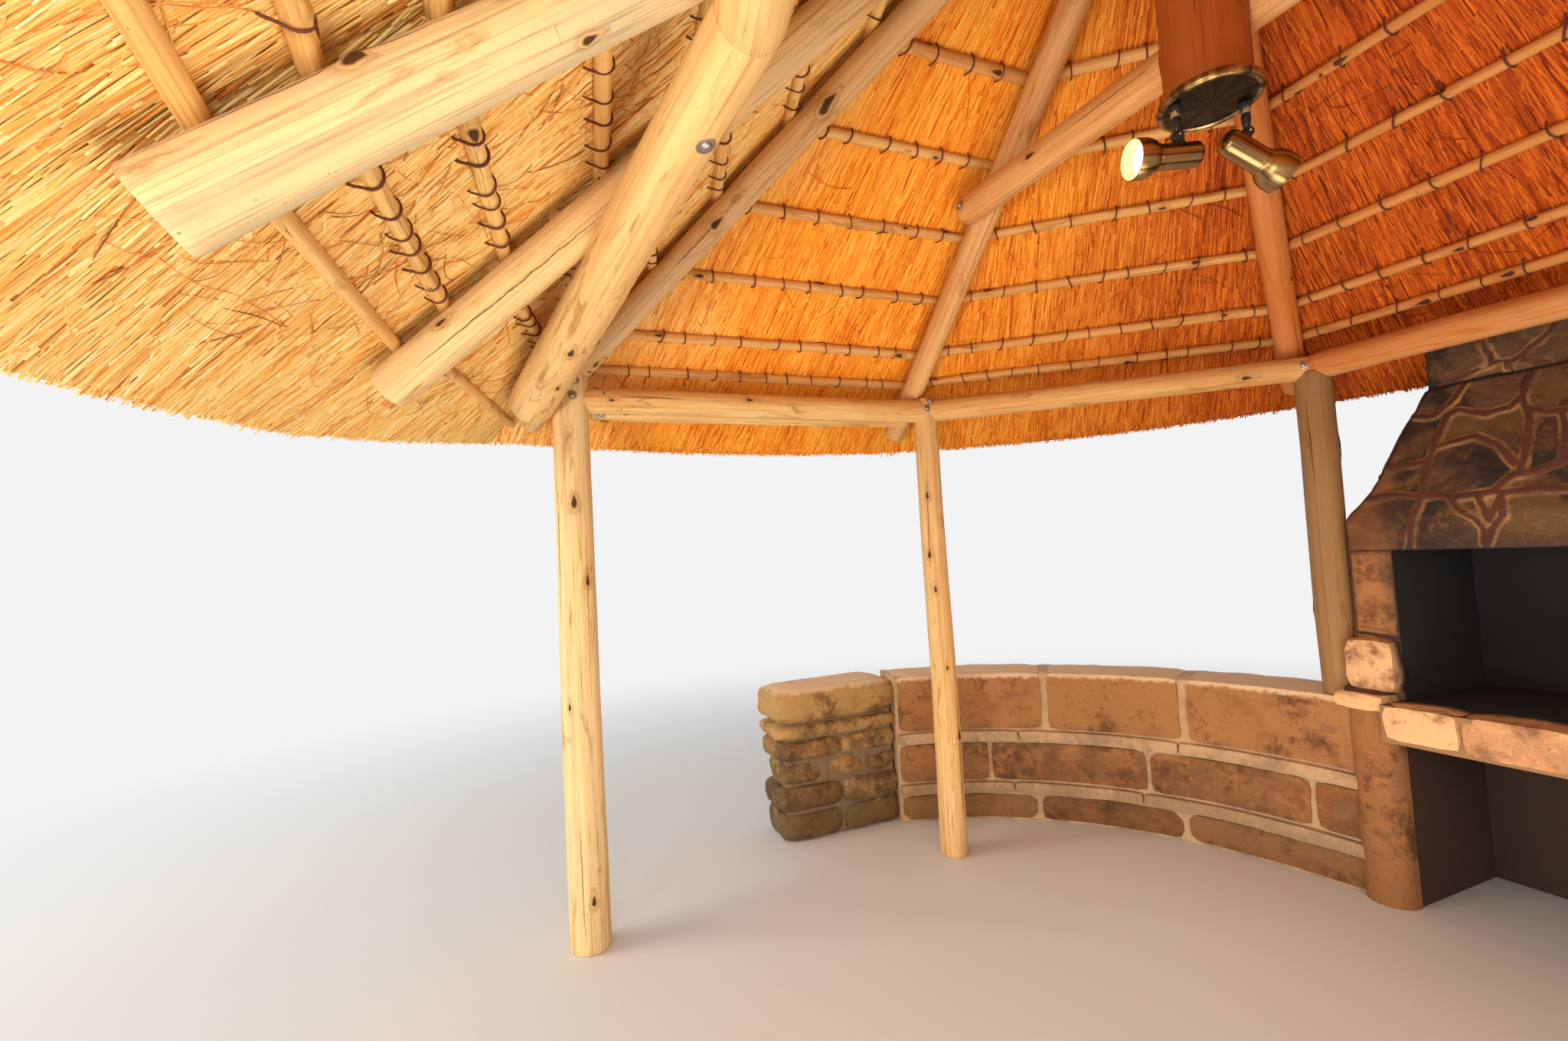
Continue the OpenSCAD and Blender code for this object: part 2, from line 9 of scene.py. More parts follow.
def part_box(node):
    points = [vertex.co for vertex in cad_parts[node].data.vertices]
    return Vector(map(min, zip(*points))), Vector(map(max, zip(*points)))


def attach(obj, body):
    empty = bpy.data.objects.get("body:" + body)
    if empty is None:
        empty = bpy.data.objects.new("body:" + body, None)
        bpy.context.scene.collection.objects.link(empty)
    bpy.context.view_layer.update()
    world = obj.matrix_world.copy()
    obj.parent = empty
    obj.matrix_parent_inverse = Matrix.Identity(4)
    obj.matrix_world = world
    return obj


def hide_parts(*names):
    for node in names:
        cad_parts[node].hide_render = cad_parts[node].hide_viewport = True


bl_info = {
    "name": "Round thatched pole shelter",
    "version": (1, 0, 0),
    "blender": (4, 5, 0),
    "location": "3D View > Sidebar > Shelter",
    "description": "Dresses a packed shelter with poles, laths, combed grass, stone and a lamp",
    "category": "Object",
}

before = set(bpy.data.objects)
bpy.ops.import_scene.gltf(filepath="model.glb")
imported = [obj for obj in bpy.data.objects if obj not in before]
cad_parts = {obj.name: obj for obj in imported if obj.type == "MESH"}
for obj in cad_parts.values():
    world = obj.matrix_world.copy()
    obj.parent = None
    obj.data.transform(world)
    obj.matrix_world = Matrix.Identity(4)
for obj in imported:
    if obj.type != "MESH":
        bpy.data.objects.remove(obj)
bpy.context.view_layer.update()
ROOT = "shelter"

# ---- plan of the shelter, the same values as the part's source, in metres ----
APEX = 3.94
RING_Z = 2.33
BEAM_D = 0.118
UNDER_D = 0.056
LATH_D = 0.044
KING_D = 0.210
KING_X = -0.040
WALL_H = 0.84
POST_AZ = (25.7, 82.6, 130.45)
POST_R = (1.808, 1.88, 2.44)
HIP_AZ = (28.0, 84.2, 129.8, 154.0, 180.0)
RAFTER_D = (0.110, 0.115, 0.112, 0.124, 0.134)
EAVE_R = (2.283, 2.42, 3.03, 2.70, 2.62)
TAIL_R = (2.041, 2.17, 2.75, 2.384, 2.24)
FRONT_SLOPES = [(APEX - 2.05) / 2.70, (APEX - 1.975) / 2.62]
NOTCH = 0.010
LATH_BED = 0.0025
EAVE_BOW = 0.040
THATCH_EAVE = 0.190
SEAT_Z = APEX + 0.055
TOP_R = KING_D / 2 - KING_X + 0.015


def slope_cos(k):
    """Cosine of the angle of a slope given as height over length."""
    return 1 / math.sqrt(1 + k * k)


def pol(radius, azimuth, z):
    """Point at a distance and an azimuth from +Y."""
    a = math.radians(azimuth)
    return Vector((radius * math.sin(a), radius * math.cos(a), z))


def hip_slopes():
    """Slope of the underside of the thatch along each rafter."""
    out = []
    for i in range(3):
        k = (APEX - RING_Z - 0.25) / POST_R[i]
        d = RAFTER_D[i]
        z = RING_Z + (BEAM_D / 2 + d - NOTCH + LATH_D) / slope_cos(k)
        out.append((APEX - z) / POST_R[i])
    return out + FRONT_SLOPES


HIP_K = hip_slopes()


def hip(i, radius, side):
    """Point on the underside of the thatch over rafter i."""
    return pol(radius, side * HIP_AZ[i], APEX - HIP_K[i] * radius)


def rafter_axis(i, radius, side):
    """Point on the axis of rafter i."""
    drop = (RAFTER_D[i] / 2 + LATH_D - LATH_BED) / slope_cos(HIP_K[i])
    return hip(i, radius, side) - Vector((0, 0, drop))


POST_C, POST_B, POST_A = (pol(r, a, 0) for r, a in zip(POST_R, POST_AZ))
FB_DIR = Vector((0.9762, 0.2168, 0))
FB_OFF = 0.152 / 2 + 0.190 / 2 - 0.010
FB_FOOT = Vector((-POST_A.x + FB_OFF * FB_DIR.y, POST_A.y - FB_OFF * FB_DIR.x, 0))
FB_LEN = -FB_FOOT.x / FB_DIR.x
FB_MID = -FB_FOOT.y - FB_DIR.y * FB_LEN
FB_TOP = (APEX - HIP_K[4] * FB_MID
          - (RAFTER_D[4] + LATH_D - LATH_BED + 0.150 / 2 - NOTCH) / slope_cos(HIP_K[4]))
FB_LOW = RING_Z - 0.020


def front_axis(t, side):
    """Point on the axis of a front beam, t metres along it from the corner post."""
    p = FB_FOOT + FB_DIR * t
    return Vector((p.x * -side, p.y, FB_LOW + (FB_TOP - FB_LOW) / FB_LEN * t))


def sided(p, side):
    """The point mirrored to the given side."""
    return Vector((side * p.x, p.y, p.z))


def light(r, g, b):
    """Linear colour of an sRGB colour given in 0 to 255."""
    def one(v):
        v /= 255
        return v / 12.92 if v < 0.04045 else ((v + 0.055) / 1.055) ** 2.4
    return (one(r), one(g), one(b))


def times(tone, by):
    """A colour times one number or three, kept under 1."""
    by = by if isinstance(by, tuple) else (by,) * 3
    return tuple(min(1, a * b) for a, b in zip(tone, by))


def unit(rows):
    """Vectors in rows, each made one long."""
    return rows / np.linalg.norm(rows, axis=1)[:, None]


def column(values):
    """Numbers as a column, to go with vectors in rows."""
    return np.asarray(values)[:, None]


def grid(rows, columns, closed=False):
    """Faces between rows of points; a closed row goes on from its last point to its first."""
    last = columns if closed else columns - 1
    return [(i * columns + j, i * columns + (j + 1) % columns,
             (i + 1) * columns + (j + 1) % columns, (i + 1) * columns + j)
            for i in range(rows - 1) for j in range(last)]


def turned_over(faces):
    """The same faces, looking the other way."""
    return [tuple(reversed(f)) for f in faces]


def circle(count):
    """Angles of points spaced evenly round a circle."""
    return np.linspace(0, 2 * math.pi, count, endpoint=False)


def wrapped(angle):
    """An angle brought between minus and plus half a turn."""
    return (angle + math.pi) % (2 * math.pi) - math.pi


# ---- sizes and colours that a user may change ----
def colour(name, words, value):
    """A colour property."""
    return bpy.props.FloatVectorProperty(
        name=name, description=words, default=light(*value), subtype="COLOR", min=0, max=1)


def length(name, words, value, low, high):
    """A length property in metres."""
    return bpy.props.FloatProperty(
        name=name, description=words, default=value, min=low, max=high, unit="LENGTH")


class ShelterSizes(bpy.types.PropertyGroup):
    """Sizes of what is laid on the frame."""
    straw_width: length("Straw width", "Width of one visible straw", 0.0058, 0.003, 0.015)
    straw_length: length("Straw length", "Longest visible run of a straw", 0.52, 0.2, 0.9)
    tie_spacing: length("Tie spacing", "Distance between the ties on a lath", 0.135, 0.08, 0.3)
    tie_radius: length("Twine radius", "Radius of the twine of the ties", 0.0028, 0.001, 0.006)
    knot_spacing: length("Knot spacing", "Mean distance between the knots of a pole", 0.22, 0.1, 1)
    stone_size: length("Stone size", "Mean width of a stone of the fireplace", 0.27, 0.1, 0.5)
    ribbon_width: length("Ribbon width", "Width of the raised mortar ribbons", 0.030, 0.01, 0.06)


class ShelterColours(bpy.types.PropertyGroup):
    """Colours of the materials."""
    wood_pale: colour("Pale wood", "Pale tone of the peeled poles", (240, 206, 136))
    wood_gold: colour("Golden wood", "Golden tone of the peeled poles", (214, 150, 68))
    wood_dark: colour("Dark wood", "Knots and cracks of the poles", (62, 30, 14))
    wood_red: colour("Hub wood", "Tone of the hanging king post", (152, 72, 22))
    wood_grey: colour("Weathered wood", "Greyed patches of the poles", (200, 180, 150))
    wood_cream: colour("Cream wood", "Tone of the oldest poles", (234, 208, 158))
    # painted shade: this tone darkens post C where shade falls on it
    wood_smoked: colour("Smoked wood", "Poles darkened by the fireplace", (128, 84, 42))
    lath_wood: colour("Lath wood", "Tone of the laths", (238, 188, 104))
    twine: colour("Twine", "Ties on the laths", (98, 46, 24))
    # the front tones are paler and the back tones deeper than the side tones: painted light over the
    # open front, painted shade by the fireplace
    pale_sun: colour("Front straw, palest", "Palest straws over the open front", (255, 228, 158))
    pale_mid: colour("Front straw", "Middle tone over the open front", (250, 196, 104))
    pale_deep: colour("Front straw, deep", "Deep tone over the open front", (224, 142, 62))
    pale_brown: colour("Front gaps", "Gaps over the open front", (140, 70, 32))
    grass_sun: colour("Side straw, palest", "Palest straws of the sides", (255, 188, 78))
    grass_gold: colour("Side straw", "Middle tone of the sides", (246, 150, 30))
    grass_deep: colour("Side straw, deep", "Deep tone of the sides", (222, 100, 12))
    grass_brown: colour("Side gaps", "Gaps of the sides", (136, 52, 10))
    dusk_sun: colour("Back straw, palest", "Palest straws by the fireplace", (219, 111, 27))
    dusk_mid: colour("Back straw", "Middle tone by the fireplace", (179, 71, 9))
    dusk_deep: colour("Back straw, deep", "Deep tone by the fireplace", (121, 39, 6))
    grass_grey: colour("Weathered grass", "Outside of the roof", (150, 140, 126))
    wall_stone: colour("Wall stone", "Sandstone of the low wall", (156, 106, 60))
    wall_mortar: colour("Wall mortar", "Joints of the low wall", (200, 164, 122))
    pier_stone: colour("Pier stone", "Olive sandstone of the end piers", (166, 128, 74))
    edge_stone: colour("Edge stone", "Pale stones of the hearth edge and jambs", (214, 166, 116))
    plaster: colour("Plaster", "Plastered piers beside the wood store", (150, 98, 54))
    hearth_ochre: colour("Ochre stone", "Paler stones of the fireplace", (100, 70, 38))
    hearth_brown: colour("Brown stone", "Darker stones of the fireplace", (60, 33, 23))
    ribbon: colour("Ribbon mortar", "Raised pointing of the fireplace", (92, 50, 30))
    soot: colour("Soot", "Inside of the fireplace", (27, 28, 29))
    cap: colour("Cap mortar", "Mortar cap of the roof", (150, 140, 126))
    bronze: colour("Bronze", "Brushed metal of the lamp", (186, 150, 98))
    steel: colour("Bolt steel", "Bolt heads", (176, 170, 160))


# ---- shader maths ----
class Val:
    """A number socket that can be used in Python expressions."""

    def __init__(self, finish, socket):
        self.finish, self.socket = finish, socket

    def do(self, operation, *values):
        """One Math node."""
        return self.finish.node("ShaderNodeMath", {"operation": operation},
                                dict(enumerate(values))).out(0)

    def __add__(self, o): return self.do("ADD", self, o)
    def __radd__(self, o): return self.do("ADD", o, self)
    def __sub__(self, o): return self.do("SUBTRACT", self, o)
    def __rsub__(self, o): return self.do("SUBTRACT", o, self)
    def __mul__(self, o): return self.do("MULTIPLY", self, o)
    def __rmul__(self, o): return self.do("MULTIPLY", o, self)
    def __truediv__(self, o): return self.do("DIVIDE", self, o)
    def __pow__(self, o): return self.do("POWER", self, o)
    def __abs__(self): return self.do("ABSOLUTE", self)
    def sin(self): return self.do("SINE", self)
    def least(self, o): return self.do("MINIMUM", self, o)
    def most(self, o): return self.do("MAXIMUM", self, o)

    def step(self, low, high):
        """0 at low, 1 at high, smooth between; high may be the lower number."""
        flip = high < low
        a, b = (high, low) if flip else (low, high)
        n = self.finish.node("ShaderNodeMapRange", {"interpolation_type": "SMOOTHSTEP"},
                             {0: self, 1: a, 2: b, 3: 0.0, 4: 1.0}).out(0)
        return 1 - n if flip else n


class Made:
    """A shader node whose outputs come as values."""

    def __init__(self, finish, node):
        self.finish, self.node = finish, node

    def out(self, key):
        return Val(self.finish, self.node.outputs[key])


class Finish:
    """A material with one Principled shader, built from expressions."""

    def __init__(self, name, **fixed):
        self.material = bpy.data.materials.new(name)
        self.material.use_nodes = True
        self.tree = self.material.node_tree
        self.shader = next(n for n in self.tree.nodes if n.type == "BSDF_PRINCIPLED")
        for key, value in fixed.items():
            self.shader.inputs[key.replace("_", " ").title()].default_value = value

    def node(self, kind, settings=None, inputs=None):
        """Any node: its settings first, then the values or links of its sockets."""
        n = self.tree.nodes.new(kind)
        for key, value in (settings or {}).items():
            if key == "stops":
                ramp = n.color_ramp
                while len(ramp.elements) < len(value):
                    ramp.elements.new(0.5)
                for e, (at, tone) in zip(ramp.elements, value):
                    e.position, e.color = at, (*tone, 1)
            else:
                setattr(n, key, value)
        for key, value in (inputs or {}).items():
            self.feed(n.inputs[key], value)
        return Made(self, n)

    def feed(self, socket, value):
        """Links a value, or sets a number or colour."""
        if isinstance(value, Val):
            self.tree.links.new(value.socket, socket)
        elif hasattr(socket.default_value, "__len__") and len(socket.default_value) == 4:
            socket.default_value = (*value, 1) if len(value) == 3 else value
        else:
            socket.default_value = value

    def attribute(self, name, output=1):
        """A mesh attribute: 1 is its vector, 2 its number."""
        return self.node("ShaderNodeAttribute", {"attribute_name": name}).out(output)

    def place(self):
        """Place in the object's own frame, in metres."""
        return self.node("ShaderNodeTexCoord").out("Object")

    def split(self, vector):
        """The three numbers of a vector."""
        n = self.node("ShaderNodeSeparateXYZ", {}, {0: vector})
        return n.out(0), n.out(1), n.out(2)

    def scale(self, vector, by):
        """A vector times three numbers."""
        return self.node("ShaderNodeVectorMath", {"operation": "MULTIPLY"},
                         {0: vector, 1: by}).out(0)

    def noise(self, vector, by, detail=3.0, rough=0.55, warp=0.0):
        """Noise from 0 to 1; by is one scale or three."""
        if not isinstance(by, (int, float)):
            vector, by = self.scale(vector, by), 1.0
        return self.node("ShaderNodeTexNoise", {}, {
            "Vector": vector, "Scale": by, "Detail": detail, "Roughness": rough,
            "Distortion": warp}).out(0)

    def cells(self, vector, by):
        """Distance to the nearest of scattered points."""
        return self.node("ShaderNodeTexVoronoi", {}, {"Vector": vector, "Scale": by}).out(0)

    def mix(self, a, b, factor):
        """Colour a to colour b."""
        return self.node("ShaderNodeMix", {"data_type": "RGBA"}, {0: factor, 6: a, 7: b}).out(2)

    def ramp(self, factor, stops):
        """Colour ramp."""
        return self.node("ShaderNodeValToRGB", {"stops": stops}, {0: factor}).out(0)

    def finish(self, base, rough=None, height=None, depth=0.002, strength=1.0):
        """Feeds the shader: colour, roughness and a bump of a height from 0 to 1."""
        self.feed(self.shader.inputs["Base Color"], base)
        if rough is not None:
            self.feed(self.shader.inputs["Roughness"], rough)
        if height is not None:
            bump = self.node("ShaderNodeBump", {}, {
                "Strength": strength, "Distance": depth, "Height": height})
            self.feed(self.shader.inputs["Normal"], bump.out(0))
        return self.material


# ---- meshes ----
def tidy_mesh(name, verts, faces, materials, values=None, sharp=None, slots=None):
    """A mesh object from points, faces and named point values, which are numbers or vectors."""
    me = bpy.data.meshes.new(name)
    me.from_pydata(np.asarray(verts, float).tolist(), [],
                   faces if isinstance(faces, list) else np.asarray(faces).tolist())
    for key, data in (values or {}).items():
        data = np.asarray(data, np.float32)
        kind = "FLOAT_VECTOR" if data.ndim == 2 else "FLOAT"
        layer = me.attributes.new(key, kind, "POINT")
        layer.data.foreach_set("vector" if data.ndim == 2 else "value", data.ravel())
    for m in materials:
        me.materials.append(m)
    if slots is not None:
        me.polygons.foreach_set("material_index", np.asarray(slots, np.int32))
    me.shade_smooth()
    if sharp is not None:
        me.set_sharp_from_angle(angle=math.radians(sharp))
    me.update()
    ob = bpy.data.objects.new(name, me)
    bpy.context.scene.collection.objects.link(ob)
    return ob


def settle(ob, body, slot, *nodes):
    """Puts a piece on its body and hides the parts that it stands for; the finish that it is given is
    not used.
    """
    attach(ob, body)
    if nodes:
        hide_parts(*nodes)
    return ob


class Batch:
    """Collects meshes with the same point values into one."""

    def __init__(self):
        self.verts, self.faces, self.values, self.slots, self.count = [], [], {}, [], 0

    def add(self, verts, faces, values=None, slot=0):
        verts = np.asarray(verts, float)
        faces = [tuple(int(i) + self.count for i in f) for f in faces]
        self.faces += faces
        self.slots += [slot] * len(faces)
        self.verts.append(verts)
        for key, data in (values or {}).items():
            self.values.setdefault(key, []).append(np.asarray(data, np.float32))
        self.count += len(verts)

    def make(self, name, materials, sharp=None):
        return tidy_mesh(name, np.vstack(self.verts), self.faces, materials,
                         {k: np.concatenate(v) for k, v in self.values.items()}, sharp, self.slots)


def across(w):
    """Two directions square to w."""
    w = np.asarray(w, float)
    u = np.cross(w, (0, 0, 1.0))
    if np.linalg.norm(u) < 0.05:
        u = np.cross(w, (0, 1.0, 0))
    u /= np.linalg.norm(u)
    return u, np.cross(w, u)


# the ends of a pole, as (distance in over the radius, share of the radius): a chamfer where
# sawn, a dome where rounded over
SAWN_END = ((0.0, 0.93), (0.0875, 0.985))
ROUND_END = ((0.0, 0.45), (0.12, 0.72), (0.35, 0.9), (0.7, 0.975))
FAR_OFF = (0.3, 0.3, 0.0)


def pole_rows(size, r0, r1, ends, step):
    """Distance along a pole of each ring of its points, and its share of the radius."""
    lead, tail = ([(a * r, b) for a, b in (ROUND_END if kind == "round" else SAWN_END)]
                  for kind, r in zip(ends, (r0, r1)))
    tail = [(size - a, b) for a, b in tail][::-1]
    body = [(x, 1.0) for x in np.linspace(0, size, max(4, int(round(size / step))) + 1)
            if lead[-1][0] + step * 0.4 < x < tail[0][0] - step * 0.4]
    return np.array(lead + body + tail).T


def log_parts(p, q, r0, r1, seed, ends=("cut", "cut"), around=32, step=0.025, wobble=0.004,
              knot_gap=0.34, swell=0.02, aged=0.25, smoked=0.0):
    """Points, faces and values of one natural pole from p to q."""
    rng = np.random.default_rng(seed)
    p, q = np.array(p, float), np.array(q, float)
    size = np.linalg.norm(q - p)
    w = (q - p) / size
    u, v = across(w)
    s, shrink = pole_rows(size, r0, r1, ends, step)
    down = column(s)
    radius = (r0 + (r1 - r0) * s / size) * shrink
    theta = circle(around)
    ph = rng.uniform(0, 6.28, 8)
    out = 1 + swell * np.sin(2 * theta[None] + ph[0] + 0.6 * down)
    out += 0.6 * swell * np.sin(3 * theta[None] + ph[1] - 0.9 * down)
    out += 0.5 * swell * np.sin(5.1 * down + ph[2] + theta[None])
    out += 0.3 * swell * np.sin(13 * down + ph[3] + 2 * theta[None])
    r = radius[:, None] * out
    # knots: a low swelling, and the way to the nearest one for the finish
    way = np.tile(FAR_OFF, (len(s), around, 1))
    best = np.full((len(s), around), 9.0)
    for _ in range(max(1, int(size / knot_gap + rng.uniform(-0.3, 0.7)))):
        ks, kt, kr = rng.uniform(0.04, size - 0.04), rng.uniform(0, 6.28), rng.uniform(0.006, 0.013)
        dx = wrapped(theta - kt)[None] * radius[:, None]
        ds = (s - ks)[:, None] + 0 * dx
        d = np.sqrt(dx ** 2 + (ds / 1.5) ** 2)
        r = r + 0.5 * kr * np.exp(-(d / (2.2 * kr)) ** 2)
        near = (d < 0.05) & (d < best)
        best = np.where(near, d, best)
        way[near] = np.stack([dx, ds / 1.6, np.full_like(dx, kr)], -1)[near]
    bend = wobble * (np.sin(math.pi * s / size)[:, None] * rng.uniform(-1, 1, 2)
                     + 0.6 * np.sin(2 * math.pi * s / size)[:, None] * rng.uniform(-1, 1, 2))
    cx, cy = np.cos(theta), np.sin(theta)
    x = r * cx + bend[:, :1]
    y = r * cy + bend[:, 1:]
    verts = (p + x[..., None] * u + y[..., None] * v + s[:, None, None] * w).reshape(-1, 3)
    # the grain runs straight along the pole
    off = rng.uniform(0, 50)
    grain = np.stack([r0 * cx + 0 * r, r0 * cy + 0 * r, down + 0 * r + off], -1).reshape(-1, 3)
    # drying cracks: distance across to the nearest one and its half width
    crack = np.tile((0.3, 0.0, 0.0), (len(s), around, 1))
    taken = []
    for _ in range(max(1, int(size / 0.55 * min(1.5, r0 / 0.05)))):
        half, mid = rng.uniform(0.12, 0.42), rng.uniform(0.05, 0.95) * size
        turn, slant = rng.uniform(0, 6.28), rng.uniform(-0.35, 0.35)
        wide = rng.uniform(0.0007, 0.0021) * (r0 / 0.06) ** 0.5
        if any(abs(mid - m) < half + h and abs(wrapped(turn - t)) < 0.9 for m, h, t in taken):
            continue
        taken.append((mid, half, turn))
        x = (s - mid) / half
        way_x = wrapped(theta[None] - turn - slant * (s - mid)[:, None]) * r0
        shut = np.sqrt(np.clip(1 - x ** 2, 0, 1))[:, None] * wide
        near = (np.abs(x)[:, None] < 1.02) & (np.abs(way_x) < 9.0 * r0 / around)
        crack[near] = np.stack([way_x, shut + 0 * way_x, 0 * way_x], -1)[near]
    faces = grid(len(s), around, True)
    # end faces: own points, so that the edge stays crisp
    parts_v, parts_g, parts_m = [verts], [grain], [np.zeros(len(verts))]
    base = len(verts)
    for which, kind in ((0, ends[0]), (len(s) - 1, ends[1])):
        ring = verts[which * around:(which + 1) * around]
        g = grain[which * around:(which + 1) * around]
        mid, gm = ring.mean(0), g.mean(0)
        dish = (-w if which else w) * (0.0 if kind == "cut" else -0.03 * r0)
        levels = [ring, mid + (ring - mid) * 0.5 + dish, np.array([mid + dish])]
        parts_v += levels
        parts_g += [g, gm + (g - gm) * 0.5, np.array([gm])]
        parts_m += [np.ones(len(x)) for x in levels]
        inner, centre = base + around, base + 2 * around
        a, b = np.arange(around), np.roll(np.arange(around), -1)
        if which == 0:
            a, b = b, a
        faces += zip(base + a, base + b, inner + b, inner + a)
        faces += zip(inner + a, inner + b, [centre] * around)
        base += 2 * around + 1
    verts = np.vstack(parts_v)
    far = np.tile(FAR_OFF, (len(verts) - len(grain), 1))
    return verts, faces, {
        "grain": np.vstack(parts_g), "knot_way": np.vstack([way.reshape(-1, 3), far]),
        "sawn": np.concatenate(parts_m), "tone": np.full(len(verts), rng.uniform(0, 1)),
        "aged": np.full(len(verts), aged), "smoked": np.full(len(verts), smoked),
        "crack_way": np.vstack([crack.reshape(-1, 3), far * (1, 0, 1)])}


# ---- finishes ----
FINISHES = {}


def wood_finish(name, pale, gold, dark, grey, cream, smoke, streak=1.0, ends=1.0):
    """Peeled pole: long grain, stains, grey patches, teardrop knots, cracks and sawn ends."""
    f = Finish(name)
    g = f.attribute("grain")
    tone = f.attribute("tone", 2)
    aged = f.attribute("aged", 2)
    fine = f.noise(g, (300, 300, 6), 2)
    grain = f.noise(g, (84, 84, 1.3), 4, 0.62)
    long_streak = f.noise(g, (30, 30, 0.5), 3, 0.6, 0.2)
    blotch = f.noise(g, (9, 9, 1.9), 3, 0.6)
    stain = f.noise(g, (18, 18, 3.2), 4, 0.68, 0.8)
    brown = tuple(0.50 * a + 0.22 * b for a, b in zip(gold, dark))
    base = f.mix(pale, gold, (blotch * 0.9 + long_streak * 0.8 * streak + tone * 0.30
                              - 0.56).step(0.05, 0.80))
    base = f.mix(base, cream, aged * 0.62)
    base = f.mix(base, brown, (grain * 0.62 + fine * 0.38).step(0.51, 0.68) * (0.56 + aged * 0.10)
                 * streak)
    base = f.mix(base, times(cream, 1.12), (grain * 0.5 + fine * 0.5).step(0.47, 0.34) * 0.55)
    thin = f.noise(g, (170, 170, 1.0), 3, 0.6, 0.4)
    base = f.mix(base, brown, (long_streak * 0.5 + grain * 0.5).step(0.53, 0.68) * 0.34 * streak)
    base = f.mix(base, brown, thin.step(0.57, 0.66) * (0.24 + aged * 0.14) * streak)
    base = f.mix(base, brown, stain.step(0.55, 0.70) * 0.76)
    worn = (f.noise(g, (6, 6, 1.1), 4, 0.62) * 0.8 + long_streak * 0.35 + aged * 0.36
            - 0.42).step(0.30, 0.62)
    base = f.mix(base, grey, worn * (0.22 + aged * 0.45))
    base = f.mix(base, times(grey, 0.40), worn * (fine * 0.4 + grain * 0.6).step(0.53, 0.64)
                 * (0.20 + aged * 0.4))
    dx, half, _ = f.split(f.attribute("crack_way"))
    dx = abs(dx + (f.noise(g, (3, 3, 17), 3) - 0.5) * 0.012)
    wide = half * (f.noise(g, (20, 20, 46), 2) * 1.5 + 0.35)
    crack = ((wide - dx) * 1100).most(0).least(1)
    beside = ((half * 5 - dx) * 180).most(0).least(1)
    x, y, size = f.split(f.attribute("knot_way"))
    wave = f.noise(g, (90, 90, 30), 2) * 0.6 + 0.7
    tail = y.most(0)
    x, y = x * (1 + tail * 34), y - tail * 0.52
    d = ((x * x + y * y) ** 0.5) * wave / size.most(0.0001)
    knot = d.step(1.05, 0.62)
    halo = d.step(3.4, 0.9)
    ring = d.step(1.7, 1.35) * d.step(1.0, 1.2)
    base = f.mix(base, brown, (halo * 0.62).most(beside * 0.35))
    base = f.mix(base, times(pale, 1.1), ring * 0.35)
    # above zero a deep amber that grows towards the back, partly painted shade; below zero the smoke
    # colour, which is painted shade
    smoked = f.attribute("smoked", 2)
    base = f.mix(base, light(190, 90, 10), smoked.most(0))
    base = f.mix(base, smoke, (smoked * -1).most(0))
    base = f.mix(base, dark, (knot * 0.94).most(crack * 0.92))
    speck = f.cells(f.scale(g, (1, 1, 0.45)),
                    62).step(0.10, 0.05) * f.noise(g, (11, 11, 3), 2).step(0.50, 0.60)
    base = f.mix(base, dark, speck * 0.7)
    gx, gy, _ = f.split(g)
    r = (gx * gx + gy * gy) ** 0.5
    rings = ((r * 950 + f.noise(g, 35, 2) * 5).sin() * 0.5 + 0.5) * 0.35
    check = abs(f.noise(f.scale(g, (45, 45, 0.0)), 1.0, 2) - 0.5).step(0.014, 0.004)
    sawn = f.attribute("sawn", 2)
    saw_tone = f.mix(times(cream, 0.80), times(grey, 0.6),
                     rings + f.noise(g, 28, 3).step(0.40, 0.70) * 0.5)
    saw_tone = f.mix(saw_tone, dark, check * 0.75)
    base = f.mix(base, saw_tone, sawn.step(0.5, 0.9) * ends)
    scar = f.cells(f.scale(g, (14, 14, 5.5)),
                   1.0).step(0.42, 0.10) * f.noise(g, (6, 6, 1.5), 1).step(0.50, 0.60)
    height = grain * 0.35 + fine * 0.22 + scar * 0.35 + 0.4 - crack * 0.7 - knot * 0.3
    f.shader.inputs["Specular IOR Level"].default_value = 0.3
    return f.finish(base, 0.52 + grain * 0.22 + worn * 0.1, height, 0.0026, 0.85)


